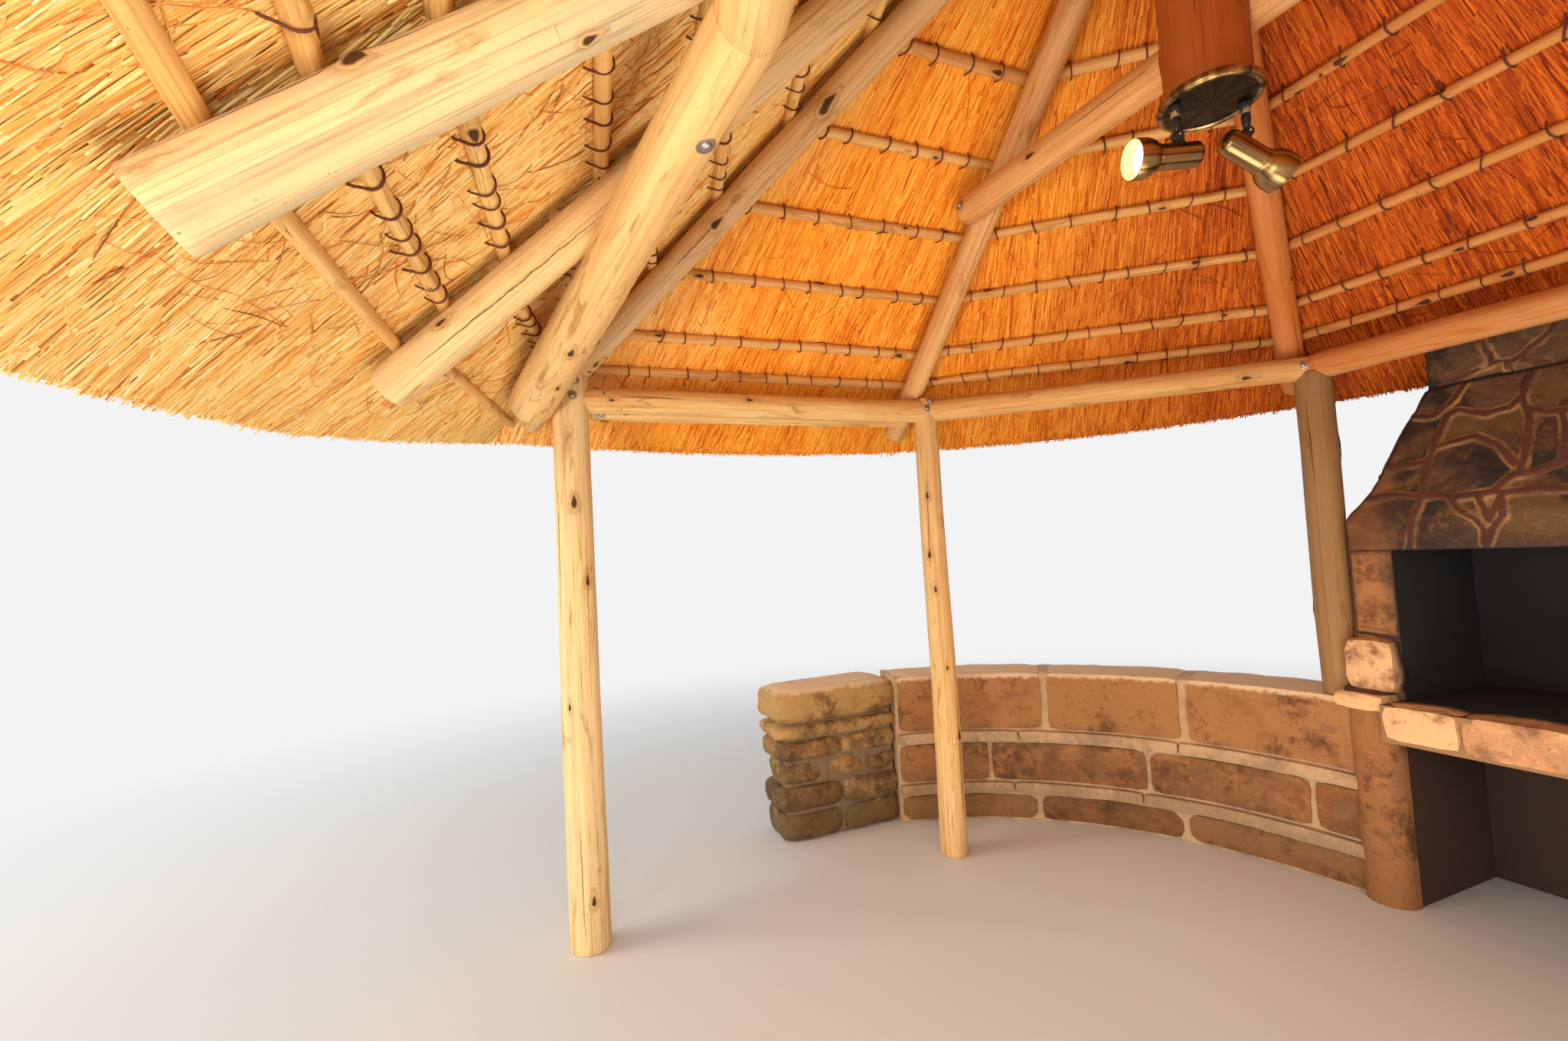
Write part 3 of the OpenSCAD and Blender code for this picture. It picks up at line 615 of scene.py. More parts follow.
def grass_finish(name, c):
    """Combed straws: pale gold over the open front, orange at the sides, deep by the fireplace; the
    paler front is painted light and the deeper back is painted shade.
    """
    f = Finish(name)
    g = f.attribute("grain")
    tone = f.attribute("tone", 2)
    out = f.attribute("weather", 2)
    px, py, _ = f.split(f.place())
    fine = f.noise(g, (430, 6, 1), 2)
    streak = f.noise(g, (180, 4, 1), 3, 0.6)
    clump = f.noise(g, (30, 1.8, 1), 3, 0.6)
    patch = f.noise(f.place(), 1.6, 3)
    shade = tone * 0.52 + streak * 0.80 + fine * 0.60 + clump * 0.60 - 0.76

    def tones(brown, deep, mid, sun):
        return f.ramp(shade, [(0.08, brown), (0.25, deep), (0.47, mid), (0.74, sun),
                              (0.95, times(sun, 1.18))])

    pale = tones(c.pale_brown, c.pale_deep, c.pale_mid, c.pale_sun)
    gold = tones(c.grass_brown, c.grass_deep, c.grass_gold, c.grass_sun)
    shaded_back_tones = tones(times(c.grass_brown, 0.45), c.dusk_deep, c.dusk_mid, c.dusk_sun)
    away = (px * px + py * py + 0.02) ** 0.5
    turn = py / away
    # paler towards the open front: painted light; deeper towards the back by the fireplace: painted
    # shade
    painted_light_front = (turn * -1 + (patch - 0.5) * 0.25).step(0.42, 0.74)
    painted_shade_back = (turn + (patch - 0.5) * 0.45 + px * 0.06).step(-0.15, 1.02)
    base = f.mix(gold, shaded_back_tones, painted_shade_back)
    base = f.mix(base, pale, painted_light_front)
    grey = f.ramp(shade, [(0.15, times(c.grass_grey, 0.22)),
                          (0.42, times(c.grass_grey, 0.62)), (0.66, c.grass_grey),
                          (0.95, (0.62, 0.57, 0.47))])
    base = f.mix(base, grey, out)
    f.shader.inputs["Specular IOR Level"].default_value = 0.18
    return f.finish(base, 0.60 + 0.22 * streak, streak * 0.5 + fine * 0.3 + clump * 0.2, 0.004, 0.9)


def twine_finish(name, c):
    """Dark tarred twine."""
    f = Finish(name)
    g = f.attribute("grain")
    twist = ((f.split(g)[0] * 1500 + f.split(g)[2] * 900).sin() * 0.5 + 0.5)
    base = f.mix(times(c.twine, 0.5), times(c.twine, 1.9), twist * 0.6 + f.noise(g, 60, 2) * 0.4)
    return f.finish(base, 0.75, twist, 0.001, 0.6)


def wall_finish(name, stone, mortar_tone, moss=1.0, soot=None, top=9.0):
    """Sandstone blocks and their mortar; a block's tone is over 1.2 for a pale ledge."""
    f = Finish(name)
    p = f.place()
    tone = f.attribute("stone", 2)
    mortar = f.attribute("mortar", 2)
    beds = f.noise(f.scale(p, (5, 5, 38)), 1.0, 4, 0.6, 0.3)
    blotch = f.noise(p, 8, 5, 0.66)
    small = f.noise(p, 31, 4, 0.6)
    grit = f.noise(p, 130, 3, 0.6)
    pits = f.cells(p, 46).step(0.30, 0.10)
    patch = f.noise(p, 3.4, 5, 0.62, 0.6)
    warm = times(stone, 1.16)
    rust = times(stone, (0.70, 0.50, 0.40))
    grey = times(stone, (0.62, 0.68, 0.74))
    base = f.mix(warm, rust, (tone * 0.42 + blotch * 0.8 + small * 0.4 - 0.50).step(0.16, 0.56))
    base = f.mix(base, grey, (beds * 0.8 + blotch * 0.5 - 0.3 + tone * 0.2).step(0.42, 0.72) * 0.55)
    base = f.mix(base, times(stone, 1.5), (small * 0.6 + grit * 0.4).step(0.52, 0.66) * 0.40)
    base = f.mix(base, times(rust, 0.40),
                 (small * 0.55 + pits * 0.30 + blotch * 0.2).step(0.56, 0.80) * 0.65)
    base = f.mix(base, times(rust, 0.42),
                 (patch * 0.7 + blotch * 0.4 + small * 0.25).step(0.68, 0.82) * 0.8)
    base = f.mix(base, times(mortar_tone, 1.1), tone.step(1.2, 1.5) * (0.92 - small * 0.25))
    px, py, pz = f.split(p)
    # painted light: the top edge, on the wall and the pier caps, is paler as if lit from above
    base = f.mix(base, light(226, 190, 146),
                 (pz + (small - 0.5) * 0.05).step(top - 0.034, top - 0.012) * 0.85)
    if moss:
        moss_zone = (f.noise(p, 5.5, 4, 0.65) * 0.9 + small * 0.25 + (pz * -0.50)).step(0.24, 0.50)
        base = f.mix(base, light(70, 54, 32), moss_zone * 0.50 * moss)
        base = f.mix(base, light(112, 100, 52), (f.noise(p, 17, 3).step(0.54, 0.68)) * moss_zone
                     * 0.5 * moss)
    pale = f.mix(mortar_tone, times(mortar_tone, 0.72), blotch.step(0.35, 0.7))
    base = f.mix(base, pale, mortar.step(0.35, 0.75))
    if soot:
        # on the hearth edge, the top behind its front strip goes black: soot and painted shade
        fire = py.step(1.525, 1.60) * pz.step(HEARTH_Z - 0.012,
                                              HEARTH_Z + 0.002) * abs(px).step(0.575, 0.55)
        base = f.mix(base, soot, fire)
    height = blotch * 0.30 + beds * 0.3 + small * 0.2 + grit * 0.25 - pits * 0.25
    return f.finish(base, 0.82 + grit * 0.12, height, 0.007, 0.9)


def hearth_finish(name, c):
    """Rough fireplace stones, raised ribbon pointing with pale edges, and soot by the fire."""
    f = Finish(name)
    p = f.place()
    px, py, pz = f.split(p)
    tone = f.attribute("stone", 2)
    ribbon = f.attribute("ribbon", 2)
    blotch = f.noise(p, 8, 5, 0.66, 0.4)
    patch = f.noise(p, 4.3, 4, 0.6, 0.5)
    small = f.noise(p, 34, 4, 0.62)
    cloud = f.noise(p, 5.1, 3)
    grit = f.noise(p, 170, 3, 0.6)
    base = f.mix(c.hearth_ochre, c.hearth_brown,
                 (tone * 0.45 + blotch * 0.75 - 0.28).step(0.12, 0.68))
    base = f.mix(base, light(150, 112, 62), (small * 0.6 + grit * 0.4).step(0.50, 0.66) * 0.42)
    base = f.mix(base, light(30, 20, 17),
                 (patch * 0.75 + blotch * 0.3 + small * 0.1).step(0.56, 0.68) * 0.88)
    base = f.mix(base, light(152, 92, 48), abs(px + (blotch - 0.5) * 0.2).step(0.46, 0.60)
                 * py.step(1.78, 1.70) * 0.42)
    cheek = abs(px).step(0.50, 0.56) * pz.step(1.52, 1.44) * py.step(1.70, 1.62)
    base = f.mix(base, f.mix(light(178, 120, 68), light(112, 68, 38),
                             (blotch * 0.6 + small * 0.4).step(0.42, 0.62)), cheek * 0.82)
    joint = f.mix(times(c.ribbon, 0.55), c.ribbon, blotch.step(0.3, 0.7))
    edge = ribbon.step(0.20, 0.36) * ribbon.step(0.82, 0.60)
    base = f.mix(base, joint, ribbon.step(0.25, 0.5))
    base = f.mix(base, light(186, 136, 80),
                 edge * (cloud * 2.6 + small * 0.6 - 1.45
                         + pz.step(1.80, 1.50) * 0.35).most(0.04).least(0.80))
    smoke = f.attribute("smoke", 2)
    base = f.mix(base, c.soot, (smoke * 1.25 + (blotch - 0.5) * smoke).step(0.15, 1.0))
    return f.finish(base, 0.80 + grit * 0.12, blotch * 0.4 + small * 0.3 + grit * 0.3, 0.007, 0.9)


def soot_finish(name, c):
    """The solid behind the stones: mortar outside, black inside the fire opening, and painted shade
    at the back of the wood store.
    """
    f = Finish(name)
    p = f.place()
    x, y, z = f.split(p)
    x = abs(x)
    blotch = f.noise(p, 12, 4, 0.6)
    inside = x.step(0.60, 0.57) * y.step(1.602, 1.612) * z.step(0.842, 0.852) * z.step(4.3, 4.2)
    # painted shade darkens the back of the wood store under the hearth
    store = x.step(0.58, 0.565) * z.step(0.71, 0.69) * y.step(1.50, 1.52)
    mortar = f.mix(times(c.ribbon, 0.55), times(c.ribbon, 0.9), blotch)
    base = f.mix(mortar, light(58, 42, 30), store * 0.9)
    slab = z.step(0.694, 0.700) * z.step(0.852, 0.848) * y.step(1.60, 1.56)
    base = f.mix(base, light(160, 120, 80), slab * 0.8)
    base = f.mix(base, c.soot, inside * (0.85 + 0.15 * blotch))
    return f.finish(base, 0.9, blotch, 0.004, 0.6)


def cap_finish(name, c):
    """Weathered trowelled mortar."""
    f = Finish(name)
    p = f.place()
    blotch = f.noise(p, 6, 5, 0.62)
    grit = f.noise(p, 90, 3)
    run = f.noise(f.scale(p, (14, 14, 2)), 1.0, 3)
    base = f.mix(c.cap, times(c.cap, 0.55), (blotch * 0.7 + run * 0.4 - 0.1).step(0.35, 0.7))
    base = f.mix(base, light(96, 92, 66), f.noise(p, 15, 3).step(0.58, 0.70) * 0.5)
    crack = abs(f.noise(p, 7, 3) - 0.5).step(0.010, 0.003)
    base = f.mix(base, light(50, 44, 38), crack * 0.6)
    return f.finish(base, 0.86 + grit * 0.1, blotch * 0.5 + grit * 0.3 - crack * 0.3, 0.006, 0.8)


def metal_finish(name, tone, rough, reflection_bands=0.0):
    """Brushed metal with faint wear, and darker stripes along it that are painted reflections."""
    f = Finish(name, metallic=1.0)
    g = f.attribute("grain")
    lines = f.noise(g, (3, 900, 3), 2)
    wear = f.noise(g, 45, 3)
    base = f.mix(times(tone, 0.72), times(tone, 1.15), lines * 0.6 + wear * 0.4)
    # painted reflections: dark stripes along the metal
    if reflection_bands:
        band = f.noise(g, (95, 1.5, 1.5), 2, 0.5, 0.3)
        base = f.mix(base, times(tone, 0.10), band.step(0.44, 0.62) * reflection_bands)
    return f.finish(base, rough + 0.16 * lines + 0.1 * wear, lines, 0.0002, 0.25)


def paint_finish(name, tone, rough):
    """Satin paint with dust in the lows."""
    f = Finish(name)
    p = f.place()
    dust = f.noise(p, 80, 3)
    base = f.mix(tone, tuple(v + 0.03 for v in tone), dust.step(0.45, 0.75))
    return f.finish(base, rough + dust * 0.15, dust, 0.0003, 0.3)


def glow_finish(name, hot, warm, strength):
    """Lit glass or the lit inside of a bell, ribbed."""
    f = Finish(name, roughness=0.35)
    p = f.place()
    rib = f.noise(p, 130, 2)
    base = f.mix(hot, warm, rib)
    f.feed(f.shader.inputs["Emission Color"], f.mix(hot, warm, rib * 0.7))
    f.shader.inputs["Emission Strength"].default_value = strength
    return f.finish(base, None, rib, 0.0006, 0.4)


def make_finishes():
    """All materials, once."""
    stored = bpy.context.scene.shelter_colours
    c = type("Tones", (), {k: tuple(getattr(stored, k)) for k in stored.__annotations__})
    FINISHES.update(
        pole=wood_finish("peeled_pole", c.wood_pale, c.wood_gold, c.wood_dark, c.wood_grey,
                         c.wood_cream, c.wood_smoked),
        hub=wood_finish("hub_pole", times(c.wood_red, (1.12, 1.36, 1.40)), c.wood_red,
                        c.wood_dark, times(c.wood_red, 0.55),
                        times(c.wood_red, (1.08, 1.28, 1.30)), c.wood_smoked),
        lath=wood_finish("lath_pole", c.lath_wood, c.wood_gold, c.wood_dark, c.wood_grey,
                         c.wood_cream, c.wood_smoked, streak=0.8, ends=0.25),
        grass=grass_finish("combed_grass", c),
        twine=twine_finish("dark_twine", c),
        wall=wall_finish("coursed_sandstone", c.wall_stone, c.wall_mortar, 0.75, top=WALL_H),
        pier=wall_finish("olive_sandstone", c.pier_stone, times(c.wall_mortar, 0.42), 1.5,
                         top=WALL_H),
        edge=wall_finish("pale_edge_stone", c.edge_stone, c.wall_mortar, 0.0, c.soot),
        plaster=wall_finish("brown_plaster", c.plaster, c.wall_mortar, 0.35),
        hearth=hearth_finish("ribbon_pointed_stone", c),
        soot=soot_finish("mortar_and_soot", c),
        cap=cap_finish("trowelled_mortar", c),
        # bronze with painted reflections in dark stripes
        bronze=metal_finish("brushed_bronze", c.bronze, 0.20, reflection_bands=0.85),
        # nearly black bronze for the plate's underside: a painted dark reflection
        patina=metal_finish("dark_bronze", times(c.bronze, 0.16), 0.30, reflection_bands=0.6),
        nickel=metal_finish("nickel_ring", (0.72, 0.70, 0.66), 0.16),
        steel=metal_finish("bolt_steel", c.steel, 0.30),
        black=paint_finish("satin_black", (0.012, 0.012, 0.013), 0.32),
        glow=glow_finish("lit_lamp", (1.0, 0.97, 0.82), (1.0, 0.90, 0.60), 1.15),
        bell=glow_finish("lit_bell", (0.96, 0.74, 0.32), (0.84, 0.55, 0.18), 0.75),
    )


# ---- poles ----
KING_Z = 2.784
TIE_R, TIE_LEFT, TIE_RIGHT = 1.12, 1.13, 1.02
# the thinner pole against the outer lower side of the ring beam between posts a and b
UNDER_REACH = (BEAM_D + UNDER_D - 0.016) / 2
UP = Vector((0, 0, 1))

# how weathered the poles are, and how much amber (above zero) or shade (below zero) is on them; below
# zero is painted shade, and the amber, which grows towards the back, is partly painted shade as well
AGED = {"rafter_1": 0.95, "rafter_a": 0.70, "rafter_2": 0.60, "post_a": 0.62, "post_b": 0.45,
        "front_beam": 0.20, "king_post": 0.0, "post_c": 0.6}
AMBER_AND_SHADE = {"post_c": -0.80, "beam_cc": 0.66, "rafter_c": 0.76, "rafter_b": 0.40, "rafter_a": 0.10,
         "beam_bc": 0.16, "king_post": 0.10, "tie_pole": 0.48, "front_beam": 0.16}


def under_shift(side):
    """From the axis of the ring beam to that of the thinner pole under it."""
    return Vector((side * UNDER_REACH * 0.8, 0, -UNDER_REACH * 0.6))


def pole_list():
    """Every pole: its node, ends, radii and ends' form."""
    cut, beam_r, rows = ("cut", "cut"), BEAM_D / 2, []

    def rafter(name, i, side):
        rows.append((name, rafter_axis(i, TAIL_R[i], side), rafter_axis(i, 0.055, side),
                     RAFTER_D[i] / 2, RAFTER_D[i] / 2 - 0.003, cut))

    ring = UP * RING_Z
    for side, tag in ((-1, "_l"), (1, "_r")):
        a, b, c = (sided(p, side) for p in (POST_A, POST_B, POST_C))
        rows += [
            ("post_a" + tag, a, a + UP * (RING_Z + 0.120), 0.084, 0.076, cut),
            ("post_b" + tag, b, b + UP * (RING_Z + 0.074), 0.069, 0.060, ("cut", "round")),
            ("post_c" + tag, c + UP * WALL_H, c + UP * (RING_Z - 0.020), 0.070, 0.070, cut),
            ("beam_ab" + tag, a + ring, b + ring, beam_r, beam_r, cut),
            ("beam_bc" + tag, b + ring, b.lerp(c, 1.035) + ring, beam_r, 0.055, ("cut", "round")),
            ("front_beam" + tag, front_axis(-0.070, side), front_axis(FB_LEN, side), 0.095, 0.074,
             ("round", "cut")),
        ]
        for i, name in enumerate(("c", "b", "a", "2")):
            rafter(f"rafter_{name}{tag}", i, side)
    rafter("rafter_1", 4, 1)
    king = Vector((KING_X, 0, 0))
    rows.append(("beam_cc", sided(POST_C, -1) + ring, POST_C + ring, beam_r, beam_r, cut))
    rows.append(("king_post", king + UP * KING_Z, king + UP * (APEX - 0.045), KING_D / 2,
                 KING_D / 2, cut))
    tie = rafter_axis(1, TIE_R, 1)
    skew = (RAFTER_D[1] / 2 + 0.059 - NOTCH) / TIE_R
    rows.append(("tie_pole", Vector((-TIE_LEFT, tie.y - skew * TIE_LEFT, tie.z)),
                 Vector((TIE_RIGHT, tie.y + skew * TIE_RIGHT, tie.z)), 0.059, 0.057,
                 ("round", "round")))
    return rows


class SHELTER_OT_poles(bpy.types.Operator):
    """Posts, beams, rafters, king post and tie pole as natural peeled poles"""
    bl_idname = "shelter.poles"
    bl_label = "Poles"

    def execute(self, context):
        sizes = context.scene.shelter_sizes
        for k, (node, p, q, r0, r1, ends) in enumerate(pole_list()):
            batch = Batch()
            thick = max(r0, r1)
            kind = node[:-2] if node.endswith(("_l", "_r")) else node
            batch.add(*log_parts(p, q, r0, r1, 100 + k, ends, around=36 if thick > 0.07 else 30,
                                 wobble=0.014 if kind == "rafter_2" else 0.005,
                                 knot_gap=sizes.knot_spacing, aged=AGED.get(kind, 0.25),
                                 smoked=AMBER_AND_SHADE.get(kind, 0.0)))
            if kind == "beam_ab":
                o, short = under_shift(-1 if node.endswith("l") else 1), Vector((0, 0.09, 0))
                batch.add(*log_parts(p + o + short, q + o - short, UNDER_D / 2,
                                     UNDER_D / 2 - 0.001, 400 + k, around=18))
            ob = batch.make("pole_" + node, [FINISHES["hub" if node == "king_post" else "pole"]],
                            50)
            settle(ob, ROOT, "gum_poles", node)
        return {"FINISHED"}


# ---- laths and ties ----
LATH_Z, LATH_STEP = 2.514, 0.187
LATH_SEAT = 0.0003
TIE_MARGIN = 0.07
LATH_RINGS = [LATH_Z] + [LATH_Z + 0.119 + i * LATH_STEP for i in range(6)]
CORNER_RINGS = [LATH_Z - 0.202, LATH_Z - 0.012] + LATH_RINGS[1:]
FRONT_RINGS = ([LATH_Z - 0.228, LATH_Z - 0.122, LATH_Z + 0.010]
               + [LATH_Z + 0.214 + i * LATH_STEP for i in range(5)])
BAYS = {
    "left": [((0, -1), (1, -1)), ((1, -1), (2, -1))],
    "right": [((0, 1), (1, 1)), ((1, 1), (2, 1))],
    "back": [((0, -1), (0, 1))],
    "front": [((2, -1), (3, -1)), ((3, -1), (4, 1)), ((4, 1), (3, 1)), ((3, 1), (2, 1))],
}


def bay_plane(a, b):
    """Upward normal, level direction and downhill direction of a bay between two hips."""
    pa, pb = (np.array(hip(i, 1, side) - hip(i, 0, side)) for i, side in (a, b))
    n = np.cross(pa, pb)
    n /= np.linalg.norm(n)
    if n[2] < 0:
        n = -n
    level = np.cross(n, (0, 0, 1.0))
    level /= np.linalg.norm(level)
    down = np.cross(n, level)
    if down[2] > 0:
        down = -down
    return n, level, down


def lath_rows(name):
    """Ends of every lath of a group of bays, and whether it is tied."""
    rows = []
    for a, b in BAYS[name]:
        n, _, _ = bay_plane(a, b)
        low = min(a[0], b[0])
        zs = FRONT_RINGS if low > 2 else CORNER_RINGS if name == "front" else LATH_RINGS
        for z in zs:
            p, q = (np.array(hip(i, (APEX - z) / HIP_K[i], side)) - n * (LATH_D / 2 - LATH_SEAT)
                    for i, side in (a, b))
            rows.append((p, q, n, z > LATH_Z - 0.2))
    return rows


def tube(line, out, side, thick, th):
    """Points round a line, at the angles th between the directions out and side."""
    turn = th[None, :, None]
    return (line[:, None] + thick * (np.cos(turn) * out + np.sin(turn) * side)).reshape(-1, 3)


class SHELTER_OT_laths(bpy.types.Operator):
    """Thin round laths under the grass, bound with dark twine"""
    bl_idname = "shelter.laths"
    bl_label = "Laths and ties"

    def execute(self, context):
        sizes = context.scene.shelter_sizes
        for g, name in enumerate(BAYS):
            laths, ties = Batch(), Batch()
            rng = np.random.default_rng(50 + g)
            for k, (p, q, n, tied) in enumerate(lath_rows(name)):
                size = np.linalg.norm(q - p)
                w = (q - p) / size
                r = LATH_D / 2 * rng.uniform(0.92, 1.02)
                lift = n * (LATH_D / 2 - r)
                a, b = (p, q) if rng.uniform() < 0.5 else (q, p)
                over = min(0.004, 0.2 * size) * (b - a) / size
                # the laths grow amber towards the back: partly painted shade
                laths.add(*log_parts(a - over + lift, b + over + lift, r, r - 0.002,
                                     900 + 40 * g + k, around=16, step=0.032, wobble=0.002,
                                     swell=0.03,
                                     smoked={"front": 0.0, "back": 0.55}.get(name, 0.26)))
                if not tied or size < 0.25:
                    continue
                room = size - 2 * TIE_MARGIN
                apart = sizes.tie_spacing * (0.62 if name == "front" else 1)
                count = max(1, int(room / apart))
                for j in range(count):
                    at = p + w * (TIE_MARGIN + (j + 0.5 + rng.uniform(-0.2, 0.2)) * room / count)
                    self.tie(ties, at, w, n, r, sizes.tie_radius * rng.uniform(0.9, 1.3), rng)
            ob = laths.make("lath_poles_" + name, [FINISHES["lath"]], 50)
            settle(ob, ROOT, "lath_poles", "laths_" + name)
            settle(ties.make("ties_" + name, [FINISHES["twine"]]), ROOT, "lath_poles")
        return {"FINISHED"}

    @staticmethod
    def tie(batch, at, w, n, r, thick, rng):
        """A loop of twine round the underside of a lath, its ends going up into the grass."""
        u = np.cross(n, w)
        lean = rng.uniform(-0.010, 0.010)
        turns, sides = 14, 5
        ang = np.linspace(-0.18 * math.pi, 1.18 * math.pi, turns)
        cx, cy = np.cos(ang), -np.sin(ang)
        reach = (r + thick * 0.75) * (1 + 0.30 * np.abs(ang / math.pi - 0.5) ** 4 / 0.68 ** 4)
        line = at + (u * cx[:, None]
                     + n * cy[:, None]) * reach[:, None] + w * (lean * np.cos(ang))[:, None]
        # one end is left standing out over the grass
        tail = np.clip(ang / math.pi - 0.93, 0, 1) / 0.25
        line = line - (u * 0.9 + w * lean
                       * 12)[None, :] * (tail * rng.uniform(0.008, 0.022))[:, None]
        tan = unit(np.gradient(line, axis=0))
        out = line - at
        out = unit(out - tan * (out * tan).sum(1)[:, None])
        th = circle(sides)
        grain = np.stack([np.tile((ang * reach)[:, None], sides), np.tile(th * thick, (turns, 1)),
                          np.tile(th * 0.003, (turns, 1))], -1)
        batch.add(tube(line, out[:, None], np.cross(tan, out)[:, None], thick, th),
                  grid(turns, sides, True), {"grain": grain.reshape(-1, 3)})


# ---- grass ----
def straws_mesh(mid, along, side, up, size, width, tone, weather, lift):
    """Many straws at once: each a ridge of two faces. up points to the viewer's side."""
    count = len(mid)
    half = (size / 2)[:, None]
    wd = (width / 2)[:, None]
    a, b = mid - along * half, mid + along * half
    low, high = lift[:, :1], lift[:, 1:]
    co = np.stack([x for p, h in ((a, low), (b, high))
                   for x in (p - side * wd + up * h, p + up * (h + wd * 0.9),
                             p + side * wd + up * h)], 1)
    base = np.arange(count)[:, None] * 6
    faces = np.stack([base + (0, 1, 4, 3), base + (1, 2, 5, 4)], 1).reshape(-1, 4)
    off = np.random.default_rng(count).uniform(0, 40, (count, 1))
    gx = off + np.array([[-0.5, 0, 0.5]]) * width[:, None]
    grain = np.zeros((count, 6, 3))
    for part, run in ((slice(0, 3), 0), (slice(3, 6), size[:, None])):
        grain[:, part, 0] = gx
        grain[:, part, 1] = off * 0.7 + run
    return co.reshape(-1, 3), faces.tolist(), {
        "grain": grain.reshape(-1, 3), "tone": np.repeat(tone, 6), "weather": np.repeat(weather, 6)}


def smooth_noise(x, y, seed):
    """Cheap smooth noise of two numbers, about -1 to 1."""
    rng = np.random.default_rng(seed)
    out = 0
    for k in range(5):
        a, b, c = rng.uniform(0.6, 1.7, 3)
        out = out + np.sin(a * x * 1.9 ** k * 0.6 + b * y * 1.7 ** k * 0.6 + 7 * c) / 1.5 ** k
    return out / 2.4


def straw_way(at, n, front):
    """Direction of the straws at points of a bay: downhill, but aslant over the open front."""
    out = unit(at - np.array([0, 0, APEX]))
    azimuth = np.arctan2(at[:, 0], at[:, 1])
    turn = np.degrees(azimuth) % 360 - 180
    fall = np.cross(n, np.cross(n, (0, 0, 1.0)))
    fall = fall / np.linalg.norm(fall) * (1 if fall[2] < 0 else -1)
    if front:
        slant = -np.interp(turn, (-52, -38, -24, -12, 12), (0, 14, 20, 16, 13))
        slant = np.where(turn > 12, np.interp(turn, (12, 20, 24, 38, 52), (-13, 0, 14, 14, 0)),
                         slant)
        tangent = np.stack([-np.cos(azimuth), np.sin(azimuth), 0 * azimuth], 1)
        out = out + tangent * np.tan(np.radians(slant))[:, None]
    else:
        out = out * 0.5 + fall * 0.5
    return unit(out - (out @ n)[:, None] * n)


def combed(way, n, lean):
    """The directions turned by an angle each within a bay."""
    return way * np.cos(lean)[:, None] + np.cross(way, n) * np.sin(lean)[:, None]


def bay_corners(a, b):
    """From the apex to the two corners of a bay at the eave."""
    return (np.array(hip(i, EAVE_R[i], side)) - (0, 0, APEX) for i, side in (a, b))


def clear_of_stack(at):
    """Which points keep clear of the chimney stack."""
    return ~((np.abs(at[:, 0]) < STACK_X + 0.02) & (at[:, 1] > STACK_Y0 - 0.08))


def eave_point(a, b, t):
    """Section of a bay at fraction t, from the underside's top round the eave to the seat."""
    e0 = np.array(hip(a[0], EAVE_R[a[0]], a[1]).lerp(hip(b[0], EAVE_R[b[0]], b[1]), t))
    size = math.hypot(e0[0], e0[1])
    out = np.array([e0[0] / size, e0[1] / size, 0])
    k = (APEX - e0[2]) / size
    bow = EAVE_BOW * (0.5 if a[0] > 2 or b[0] > 2 else 1) * 4 * t * (1 - t)
    e1 = e0 + out * bow + np.array([0, 0, -k * bow])
    up = np.array([0, 0, 1.0])
    u0 = out * TOP_R + up * (APEX - k * TOP_R)
    return [u0, e1, e1 + out * 0.034 + up * 0.034, e1 + out * 0.052 + up * THATCH_EAVE * 0.72,
            e1 + out * 0.022 + up * THATCH_EAVE,
            np.array([out[0] * 0.5, out[1] * 0.5, SEAT_Z - 0.25 * 0.70]),
            np.array([out[0] * 0.25, out[1] * 0.25, SEAT_Z])]


# straws over a square metre of the underside, and over a metre of eave at three places
NEAR_STRAWS, FAR_STRAWS = 4300, 2900
FRINGE_STRAWS, TOP_STRAWS, CUT_STRAWS = 420, 850, 550


